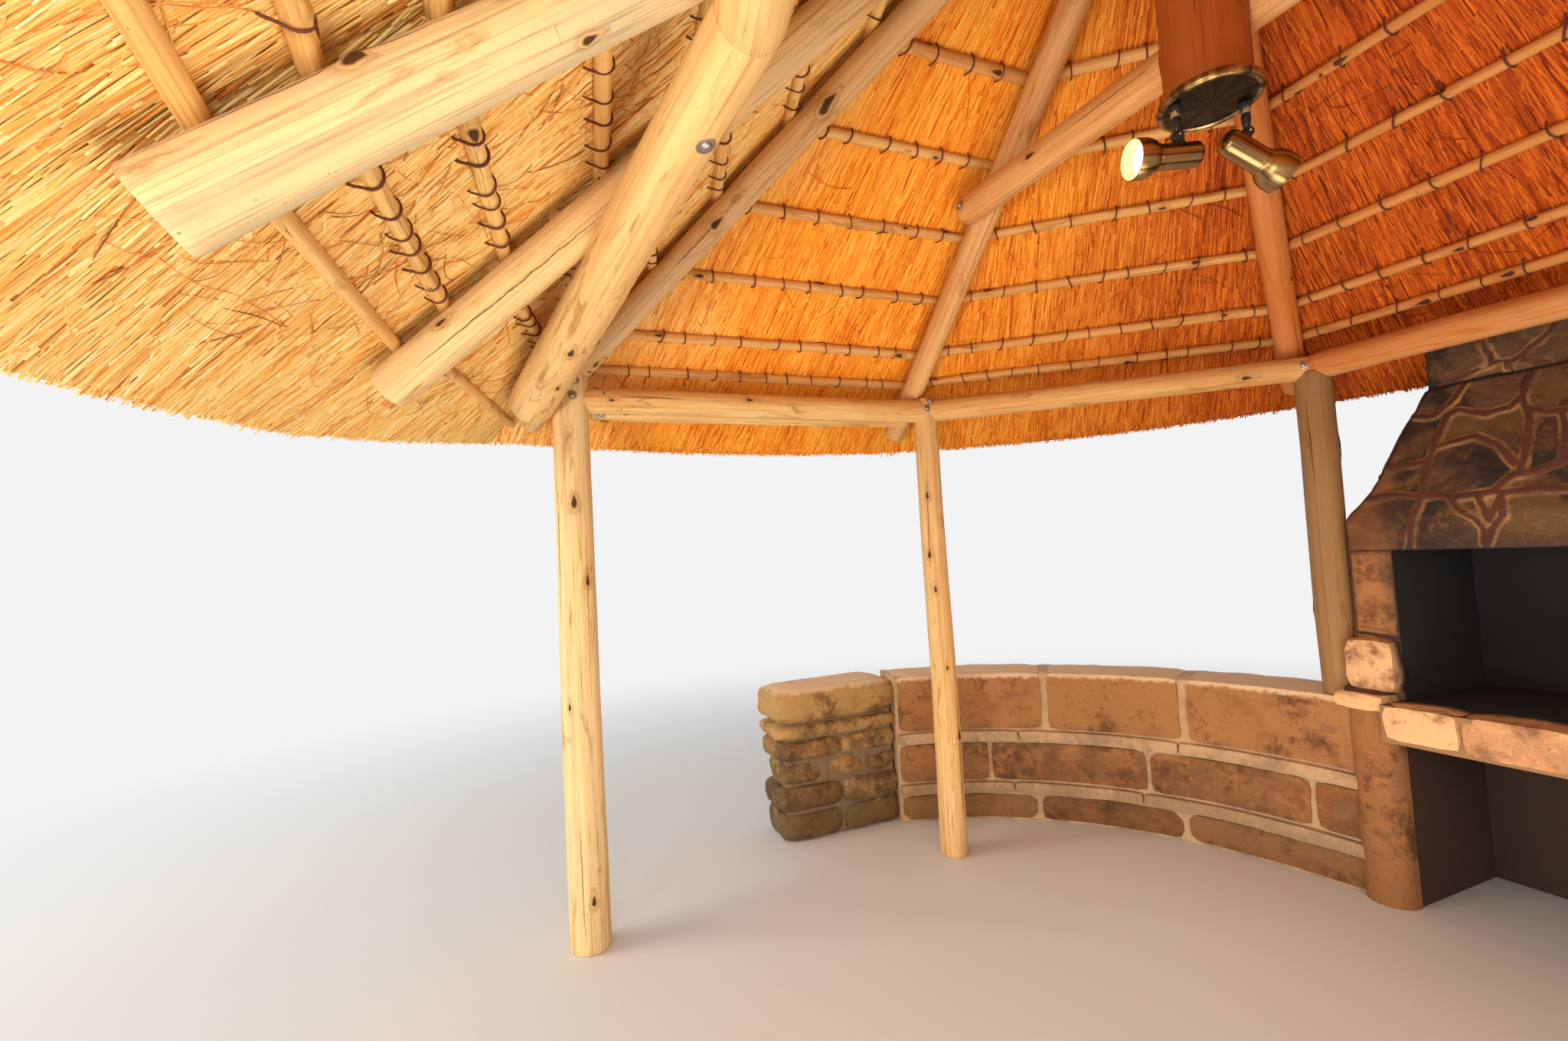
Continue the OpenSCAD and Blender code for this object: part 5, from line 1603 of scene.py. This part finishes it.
class SHELTER_OT_fireplace(bpy.types.Operator):
    """Fireplace of big brown stones with raised ribbon pointing, hearth slab and rounded piers"""
    bl_idname = "shelter.fireplace"
    bl_label = "Fireplace"

    def execute(self, context):
        sizes = context.scene.shelter_sizes
        size, rib = sizes.stone_size, sizes.ribbon_width
        # the solids stay as the sooty inside and the mortar behind the stones
        for node in ("braai_base", "braai_hood", "chimney"):
            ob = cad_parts[node]
            ob.data.materials.clear()
            ob.data.materials.append(FINISHES["soot"])
        front, rest = Batch(), Batch()
        for k, s in enumerate((-1, 1)):
            a, b = sorted((s * HOOD_X, s * FIRE_W))
            stone_panel(front, [((a, JAMB_Y, z), (b, JAMB_Y, z))
                                for z in (HEARTH_Z, HEARTH_Z + FIRE_H)],
                        201 + k, size, rib, smoke=fire_smoke, joints=JAMB_JOINTS)
        stone_panel(front, [((-w, y0, z), (w, y0, z)) for w, y0, y1, z in HOOD_LINE], 203,
                    size * 0.8, rib, step=0.0105, smoke=fire_smoke, joints=HOOD_JOINTS)
        settle(front.make("hood_front_stones", [FINISHES["hearth"]]), ROOT, "hearth_stone")
        # the sides and the back, each from the hearth up and from the ground to the hearth
        line = ((HOOD_X, JAMB_Y, BACK_Y, HEARTH_Z), *HOOD_LINE)
        for s in (-1, 1):
            stone_panel(rest, [tuple((s * w, y, z) for y in ys[::s]) for w, *ys, z in line],
                        210 + s, size * 1.1, rib, FINE_GRID if s < 0 else COARSE_GRID)
            stone_panel(rest, [tuple((s * BASE_X, y, z) for y in (JAMB_Y, BACK_Y)[::s])
                               for z in (0, HEARTH_Z)], 230 + s, size * 1.2, rib, COARSE_GRID)
        base = ((BASE_X, JAMB_Y, BACK_Y, 0), (BASE_X, JAMB_Y, BACK_Y, HEARTH_Z))
        for seed, rows in ((242, line), (241, base)):
            stone_panel(rest, [((w, y1, z), (-w, y1, z)) for w, _, y1, z in rows], seed,
                        size * 1.2, rib, COARSE_GRID)
        settle(rest.make("hood_side_stones", [FINISHES["hearth"]]), ROOT, "hearth_stone")
        self.edge()
        self.piers()
        self.stack(size, rib)
        return {"FINISHED"}

    @staticmethod
    def edge():
        """Rough edge stones of the hearth slab and the jamb stones."""
        batch = Batch()

        def place(u, z, w):
            return (u, 1.475 + w, z)

        def jamb(u, z, w):
            return (u, JAMB_Y - 0.075 + w, z)

        rng = np.random.default_rng(61)
        x, k = -STORE_X, 0
        while x < STORE_X - 0.005:
            size = rng.uniform(0.20, 0.34)
            if STORE_X - x - size < 0.12:
                size = STORE_X - x
            block(batch, place, x + 0.003, x + size - 0.003,
                  HEARTH_Z - 0.148 + rng.uniform(0, 0.012),
                  HEARTH_Z + rng.uniform(0.0, 0.012), -0.016, 0.235, 600 + k, rough=0.013,
                  soft=0.014)
            x, k = x + size, k + 1
        for s in (-1, 1):
            a, b = sorted((s * (HOOD_X + 0.020), s * (FIRE_W - 0.005)))
            block(batch, jamb, a, b, HEARTH_Z + 0.036, HEARTH_Z + 0.255, 0.0, 0.10, 650 + s,
                  rough=0.010, soft=0.014, tone=0.3)
            # the slab's end over the pier
            a, b = sorted((s * (STORE_X - 0.004), s * (BASE_X + 0.014)))
            block(batch, jamb, a, b, HEARTH_Z - 0.045, HEARTH_Z + 0.034, -0.040, 0.22, 660 + s,
                  rough=0.009, soft=0.014, tone=0.15)
        settle(batch.make("hearth_edge_stones", [FINISHES["edge"]], 60), ROOT, "hearth_stone")

    @staticmethod
    def piers():
        """The two plastered piers with rounded noses."""
        batch = Batch()
        r = (BASE_X - STORE_X) / 2
        cx, cy, foot = STORE_X + r, 1.520 + r, JAMB_Y + 0.02
        prof = ([(STORE_X, foot)] + [(STORE_X + r - r * math.cos(t), 1.520 + r - r * math.sin(t))
                                     for t in np.linspace(0, math.pi, 17)] + [(BASE_X, foot)])
        levels = ([(0.0, 1.0), (0.03, 1.0)]
                  + [(z, 1.0) for z in np.arange(0.08, HEARTH_Z - 0.03, 0.05)]
                  + [(HEARTH_Z + z, q) for z, q in ((-0.01, 0.985), (0.012, 0.93), (0.030, 0.78),
                                                    (0.040, 0.45))])
        faces = grid(len(levels), len(prof))
        faces.append(tuple(range((len(levels) - 1) * len(prof), len(levels) * len(prof))))
        for s in (-1, 1):
            rows = []
            for z, q in levels:
                for x, y in prof:
                    w = 0.004 * smooth_noise(np.array(x * 9), np.array(z * 7 + y * 5), 77)
                    rows.append((s * (cx + (x - cx) * (q * 1.05 + w)),
                                 cy + (y - cy) * (q * 1.05 + w) if y < JAMB_Y else y, z))
            batch.add(rows, turned_over(faces) if s > 0 else faces,
                      {"stone": np.full(len(rows), 0.25), "mortar": np.zeros(len(rows))})
        settle(batch.make("hearth_piers", [FINISHES["plaster"]], 60), ROOT, "hearth_stone")

    @staticmethod
    def stack(size, rib):
        """Chimney stack, corbel course and cover slab."""
        batch, slabs = Batch(), Batch()
        x, y0, y1 = STACK_X, STACK_Y0, STACK_Y1
        plan = [(-x, y0), (x, y0), (x, y1), (-x, y1), (-x, y0)]
        for k, (a, b) in enumerate(zip(plan, plan[1:])):
            stone_panel(batch, [((*a, z), (*b, z)) for z in (HOOD_TOP, STACK_TOP - 0.170)], 301 + k,
                        size * 1.1, rib, 0.017)
        settle(batch.make("stack_stones", [FINISHES["hearth"]]), ROOT, "hearth_stone")
        for seed, grow, low, high, u0, u1 in (
                (330, 0.044, -0.336, -0.244, -x - 0.044, 0.04),
                (331, 0.044, -0.336, -0.244, 0.046, x + 0.044),
                (333, 0.036, -0.068, 0.006, -x - 0.036, x + 0.036)):
            def place(u, z, w):
                return (u, y0 - grow + w, z)
            block(slabs, place, u0, u1, STACK_TOP + low, STACK_TOP + high, 0.0,
                  y1 - y0 + 2 * grow, seed, rough=0.006, soft=0.016)
        settle(slabs.make("stack_slabs", [FINISHES["wall"]], 60), ROOT, "hearth_stone")


# ---- lamp and bolts ----
def turned(batch, path, origin, matrix=None, around=48, slot=0):
    """A turned piece: path is (distance along, radius) pairs, along local +Z."""
    path = np.array(path, float)
    ang = circle(around)
    co = np.stack([path[:, 1:2] * np.cos(ang), path[:, 1:2] * np.sin(ang),
                   np.tile(path[:, :1], around)], -1)
    run = np.append(0, np.cumsum(np.linalg.norm(np.diff(path, axis=0), axis=1)))
    grain = np.stack([np.tile(ang * 0.03, (len(path), 1)), np.tile(run[:, None], around),
                      np.zeros((len(path), around))], -1)
    m = np.eye(3) if matrix is None else np.array(matrix)
    batch.add(co.reshape(-1, 3) @ m.T + np.array(origin), grid(len(path), around, True),
              {"grain": grain.reshape(-1, 3)}, slot)


def mirrored(path, mid=0.0):
    """A path from its far end in, and back out on the near side of the middle."""
    return [(mid - (x - mid), r) for x, r in path] + path[::-1]


LAMP_AZ = 69
SPOTS = ((-1, 184, 4), (1, 8, 28))
PLATE_Z = KING_Z - 0.026
KNUCKLE = -0.082


def spot_frame(n):
    """Point of the pan axis on the plate, and the turn of the stem, of a spotlight."""
    sign, pan, tilt = SPOTS[n]
    a = math.radians(LAMP_AZ)
    at = Vector((KING_X + sign * 0.095 * math.cos(a), sign * 0.095 * math.sin(a), PLATE_Z))
    turn = Matrix.Rotation(math.radians(LAMP_AZ + pan), 3, "Z")
    return at, turn, turn @ Matrix.Rotation(math.radians(tilt), 3, "Y")


class SHELTER_OT_lamp(bpy.types.Operator):
    """Ceiling plate with two bronze spotlights"""
    bl_idname = "shelter.lamp"
    bl_label = "Lamp"

    def execute(self, context):
        plate = Batch()
        rim = [(0.0262, 0.104), (0.0262, 0.115), (0.024, 0.1225), (0.019, 0.1272), (0.013, 0.128),
               (0.007, 0.1272), (0.002, 0.1235), (-0.0002, 0.1175), (0.0015, 0.1120),
               (0.0045, 0.1085), (0.0052, 0.104), (0.004, 0.080), (0.002, 0.050), (0.0008, 0.020),
               (0.0003, 0.0003)]
        # the rim in bronze, the dish under it in bronze with a painted dark reflection
        for slot, path in enumerate((rim[:10], rim[9:])):
            turned(plate, path, (KING_X, 0, PLATE_Z), around=96, slot=slot)
        plate.faces = turned_over(plate.faces)
        settle(plate.make("lamp_plate", [FINISHES["bronze"], FINISHES["patina"]], 60), ROOT,
               "bronze", "lamp_base")
        for n in (0, 1):
            at, stem_turn, head_turn = spot_frame(n)
            stem = Batch()
            for slot, path in (
                    (1, ((-0.0145, 0.0095), (-0.014, 0.0115), (-0.012, 0.0145), (-0.004, 0.0150),
                         (0.0005, 0.0145))),
                    (0, ((-0.031, 0.0082), (-0.0305, 0.0116), (-0.0275, 0.0124), (-0.018, 0.0124),
                         (-0.0148, 0.0118), (-0.0145, 0.0085))),
                    (1, ((-0.070, 0.0060), (-0.066, 0.0085), (-0.056, 0.0105), (-0.045, 0.0120),
                         (-0.034, 0.0115), (-0.030, 0.0095)))):
                turned(stem, path, at, stem_turn, 32, slot)
            eye = at + Vector((0, 0, KNUCKLE))
            side = stem_turn @ Matrix.Rotation(math.radians(90), 3, "X")
            disc = [(0.0060, 0.0001), (0.0060, 0.0118), (0.0048, 0.0140), (0.0025, 0.0149)]
            turned(stem, mirrored(disc), eye, side, 40, 1)
            settle(stem.make(f"spot_{n + 1}_swivel", [FINISHES["nickel"], FINISHES["black"]], 40),
                   f"spot_{n + 1}_stem", "black_metal", f"spot_{n + 1}_stem")
            self.head(n, eye, head_turn)
        return {"FINISHED"}

    @staticmethod
    def head(n, eye, turn):
        """Bronze spotlight: rounded back, slotted body, seam and bell, lit mouth."""
        batch = Batch()
        r, bell, m = 0.033, 0.052, 0.062
        axis = turn @ Matrix.Rotation(math.radians(90), 3, "Y")
        origin = eye + turn @ Vector((0, 0, -0.055))

        def along(rows, base, start=m):
            return [(start + x, base + y) for x, y in rows]

        back = along(((-0.056, -0.018), (-0.0545, -0.012), (-0.0505, -0.0055), (-0.045, -0.002),
                      (-0.038, 0)), r, 0)
        body = [(x, r) for x in np.linspace(-0.036, m + 0.003, 16)]
        seam = along(((0.004, 0.0004), (0.0045, 0.0016), (0.0085, 0.0016), (0.009, 0.0005),
                      (0.012, 0.002), (0.018, 0.007), (0.026, 0.0125)), r)
        flare = along(((0.034, -0.0035), (0.043, -0.001), (0.052, 0), (0.077, 0), (0.078, -0.0006),
                       (0.0775, -0.0022)), bell)
        inner = along(((0.070, -0.0026), (0.053, -0.0028), (0.040, -0.010), (0.030, -0.018)), bell)
        turned(batch, [(-0.056, 0.0003)] + back + body + seam + flare, origin, axis, 64, 0)
        turned(batch, flare[-1:] + inner + [(m + 0.022, r - 0.004)], origin, axis, 64, 4)
        # lit reflector lamp
        bulb = along(((0.012, -0.006), (0.030, 0.004)), r) + along(
            ((0.044, -0.010), (0.0475, -0.0105), (0.050, -0.014), (0.0515, -0.026)), bell)
        turned(batch, bulb + [(m + 0.052, 0.0003)], origin, axis, 48, 2)
        # ears, arch and pin over the swivel
        side = turn @ Matrix.Rotation(math.radians(90), 3, "X")
        for y in (-1, 1):
            disc = [(-y * 0.0089 + x, w) for x, w in (
                (-0.0025, 0.0002), (-0.0025, 0.0122), (-0.0015, 0.0130), (0.0015, 0.0130),
                (0.0025, 0.0122), (0.0025, 0.0002))]
            turned(batch, disc, eye, side, 32, 1)
            web = np.array([[sx * (0.009 if z > -0.02 else 0.012), y * yy, z]
                            for z in (0.0, -0.012, -0.0235) for sx in (-1, 1)
                            for yy in (0.0066, 0.0112)])
            co = np.array([eye + turn @ Vector(p) for p in web])
            f = []
            for lv in (0, 4):
                f += [(lv, lv + 1, lv + 5, lv + 4), (lv + 2, lv + 6, lv + 7, lv + 3),
                      (lv, lv + 4, lv + 6, lv + 2), (lv + 1, lv + 3, lv + 7, lv + 5)]
            batch.add(co, f, {"grain": web}, 1)
        pin = [(0.0135, 0.0002), (0.0135, 0.0030), (0.0125, 0.0038)]
        turned(batch, mirrored(pin), eye, side, 20, 3)
        # heat slots on the upper side, as black strips on the shell: the dark of the openings is
        # painted shade
        rr = r + 0.0004
        for k in range(5):
            x0 = -0.034 + k * 0.009 + (0.022 if k > 1 else 0)
            pts = [(x0 + w - 0.010 * abs(math.sin(ang)), rr * math.sin(ang),
                    rr * math.cos(ang) - 0.055)
                   for ang in np.linspace(-1.0, 1.0, 15) for w in (0.0, 0.0038)]
            co = np.array([eye + turn @ Vector(p) for p in pts])
            batch.add(co, grid(15, 2), {"grain": np.array(pts)}, 1)
        ob = batch.make(f"spot_{n + 1}_shade", [FINISHES[key] for key in (
            "bronze", "black", "glow", "nickel", "bell")], 45)
        settle(ob, f"spot_{n + 1}_head", "bronze", f"spot_{n + 1}_head")


class SHELTER_OT_bolts(bpy.types.Operator):
    """Domed coach bolts and washers where the poles are fixed"""
    bl_idname = "shelter.bolts"
    bl_label = "Bolts"

    def execute(self, context):
        batch = Batch()

        def bolt(at, out, size=0.011):
            w = np.array(out, float)
            w /= np.linalg.norm(w)
            u, v = across(w)
            m = np.stack([u, v, w], 1)
            path = [(x, size * r) for x, r in (
                (-0.004, 1.7), (0.0012, 1.7), (0.0018, 1.55), (0.0020, 1.02), (0.0035, 1),
                (0.0062, 0.86), (0.0082, 0.58), (0.0092, 0.25))]
            turned(batch, path + [(0.0094, 0.0002)], at, m, 24)

        for side in (-1, 1):
            a, b, c = (sided(p, side) for p in (POST_A, POST_B, POST_C))
            face = Vector((-side, 0.05, 0)).normalized()
            for dz, dy in ((2.335, 0.0), (2.40, 0.012)):
                bolt(a + face * 0.0775 + Vector((0, dy, dz)), face)
            turn = Vector((-side * 0.98, -0.2, 0)).normalized()
            for z, o in ((2.375, 0.008), (2.335, -0.012)):
                bolt(b + turn * 0.0605 + Vector((0, o, z)), turn)
            mid = sided(Vector((POST_A.x, POST_A.y + 0.13, RING_Z)), side)
            bolt(mid + under_shift(side) + Vector((-side * 0.0285, 0, -0.004)), (-side, 0, -0.1))
            end = b.lerp(c, 0.985)
            inward = Vector((-c.x, -c.y, 0)).normalized()
            bolt(end + Vector((0, 0, RING_Z + 0.006)) + inward * 0.0595, inward)
            fb = front_axis(1.618, side)
            out = Vector((-side * 0.131, 0.257, -0.957))
            bolt(fb + out * 0.0768, out, 0.014)
        _, left, right, *_ = next(row for row in pole_list() if row[0] == "tie_pole")
        for s, end in ((-1, left), (1, right)):
            bolt(end + Vector((-s * 0.06, -0.0585, 0.004)), (0, -1, 0))
        settle(batch.make("coach_bolts", [FINISHES["steel"]], 50), ROOT, "black_metal")
        return {"FINISHED"}


# ---- camera and stage ----
# the photograph's camera, worked out from the photograph: turn from +Y, rise and roll in
# radians, focal length and picture width in its pixels
CAMERA_AT = Vector((1.1449, -1.7605, 1.600))
CAMERA_TURN = (-1.2047, 0.0522, -0.0549)
FOCAL_PX, PHOTO_PX, SENSOR_MM = 860.7, 2048, 36
# soft lamps: name, place, what it looks at, power in watts, size
LAMPS = (("key", (-2.5, -8.5, 4.2), (0, 0, 1.6), 395, 4.0),
         ("bounce", (1.7, -4.3, 0.55), (-0.6, -0.9, 2.7), 76, 0.9),
         ("under", (0.2, -0.3, 0.05), (0.0, -0.3, 3.0), 60, 2.2),
         ("near", (1.03, -2.06, 1.96), (-0.9, -0.5, 2.3), 8, 0.16),
         ("fill", (6.5, -3.0, 3.6), (0, 0, 1.5), 200, 3.0))
LAMP_TONE = (1.0, 0.955, 0.88)
BACKDROP = (0.90, 0.90, 0.90)


class SHELTER_OT_camera(bpy.types.Operator):
    """Camera at the photograph's place and angle"""
    bl_idname = "shelter.camera"
    bl_label = "Camera"

    def execute(self, context):
        yaw, pitch, roll = CAMERA_TURN
        ahead = Vector((math.sin(yaw), math.cos(yaw), 0))
        right = Vector((math.cos(yaw), -math.sin(yaw), 0))
        look = ahead * math.cos(pitch) + UP * math.sin(pitch)
        top = -ahead * math.sin(pitch) + UP * math.cos(pitch)
        x = right * math.cos(roll) + top * math.sin(roll)
        y = -right * math.sin(roll) + top * math.cos(roll)
        data = bpy.data.cameras.new("photo_camera")
        data.sensor_width = SENSOR_MM
        data.lens = FOCAL_PX / PHOTO_PX * SENSOR_MM
        data.clip_start, data.clip_end = 0.02, 200
        cam = bpy.data.objects.new("photo_camera", data)
        turn = Matrix((x, y, -look)).transposed().to_4x4()
        cam.matrix_world = Matrix.Translation(CAMERA_AT) @ turn
        context.scene.collection.objects.link(cam)
        context.scene.camera = cam
        return {"FINISHED"}


class SHELTER_OT_stage(bpy.types.Operator):
    """Pale floor, pale surroundings and soft studio lamps"""
    bl_idname = "shelter.stage"
    bl_label = "Stage"

    def execute(self, context):
        scene = context.scene
        scene.view_settings.view_transform = "Standard"
        f = Finish("stage_floor", roughness=0.85)
        p = f.place()
        f.feed(f.shader.inputs["Base Color"], f.mix((0.66, 0.65, 0.63), (0.69, 0.68, 0.66),
                                                    f.noise(p, 0.8, 3)))
        # far from the shelter the floor turns into the pale surroundings for the camera
        far = f.node("ShaderNodeEmission", {}, {"Color": BACKDROP, "Strength": 1.0}).node
        x, y, _ = f.split(p)
        seen = f.node("ShaderNodeLightPath").out("Is Camera Ray")
        blend = f.node("ShaderNodeMixShader", {},
                       {0: ((x * x + y * y) ** 0.5).step(3.4, 8.5) * seen}).node
        f.tree.links.new(f.shader.outputs[0], blend.inputs[1])
        f.tree.links.new(far.outputs[0], blend.inputs[2])
        target = next(n for n in f.tree.nodes if n.type == "OUTPUT_MATERIAL")
        f.tree.links.new(blend.outputs[0], target.inputs[0])
        s = 40.0
        corners = [(x * s, y * s, -0.001) for x, y in ((-1, -1), (1, -1), (1, 1), (-1, 1))]
        floor = tidy_mesh("stage_floor", corners, [(0, 1, 2, 3)], [f.material])
        self.world(scene)
        for name, at, aim, power, size in LAMPS:
            data = bpy.data.lights.new(name, "AREA")
            data.energy, data.size, data.color = power, size, LAMP_TONE
            lamp = bpy.data.objects.new("lamp_" + name, data)
            lamp.location = at
            lamp.rotation_euler = (Vector(aim) - Vector(at)).to_track_quat("-Z", "Y").to_euler()
            lamp.visible_camera = False
            scene.collection.objects.link(lamp)
        return {"FINISHED"}

    @staticmethod
    def world(scene):
        """Pale surroundings as seen or mirrored, and a softer light from them."""
        scene.world = bpy.data.worlds.new("stage_world")
        scene.world.use_nodes = True
        tree = scene.world.node_tree
        tree.nodes.clear()

        def node(kind, *inputs):
            n = tree.nodes.new("ShaderNode" + kind)
            if kind == "Math":
                n.operation = "MAXIMUM"
            for socket, value in zip(n.inputs, inputs):
                if isinstance(value, bpy.types.NodeSocket):
                    tree.links.new(value, socket)
                else:
                    socket.default_value = value
            return n.outputs

        path = node("LightPath")
        soft = node("Background", (0.97, 0.98, 1.0, 1), 0.62)
        seen = node("Background", (*BACKDROP, 1), 1.0)
        glossy = node("Math", path["Is Camera Ray"], path["Is Glossy Ray"])
        direct = node("Math", glossy[0], path["Is Transmission Ray"])
        node("OutputWorld", node("MixShader", direct[0], soft[0], seen[0])[0])


class SHELTER_PT_panel(bpy.types.Panel):
    """Steps that dress the shelter"""
    bl_idname = "SHELTER_PT_panel"
    bl_label = "Thatched shelter"
    bl_space_type = "VIEW_3D"
    bl_region_type = "UI"
    bl_category = "Shelter"

    def draw(self, context):
        for step in STEPS:
            self.layout.operator(step.bl_idname)
        for group in (context.scene.shelter_sizes, context.scene.shelter_colours):
            box = self.layout.box()
            for key in group.__annotations__:
                box.prop(group, key)


STEPS = (SHELTER_OT_camera, SHELTER_OT_poles, SHELTER_OT_laths, SHELTER_OT_grass, SHELTER_OT_cap,
         SHELTER_OT_wall,
         SHELTER_OT_piers, SHELTER_OT_fireplace, SHELTER_OT_lamp, SHELTER_OT_bolts,
         SHELTER_OT_stage)
CLASSES = (ShelterSizes, ShelterColours, *STEPS, SHELTER_PT_panel)


def register():
    """Registers the add-on's classes and settings."""
    for cls in CLASSES:
        bpy.utils.register_class(cls)
    bpy.types.Scene.shelter_sizes = bpy.props.PointerProperty(type=ShelterSizes)
    bpy.types.Scene.shelter_colours = bpy.props.PointerProperty(type=ShelterColours)


def unregister():
    """Takes them out again."""
    del bpy.types.Scene.shelter_colours
    del bpy.types.Scene.shelter_sizes
    for cls in reversed(CLASSES):
        bpy.utils.unregister_class(cls)


def main():
    """Runs every step in order."""
    register()
    make_finishes()
    for step in STEPS:
        group, name = step.bl_idname.split(".")
        getattr(getattr(bpy.ops, group), name)()


if __name__ == "__main__":
    main()
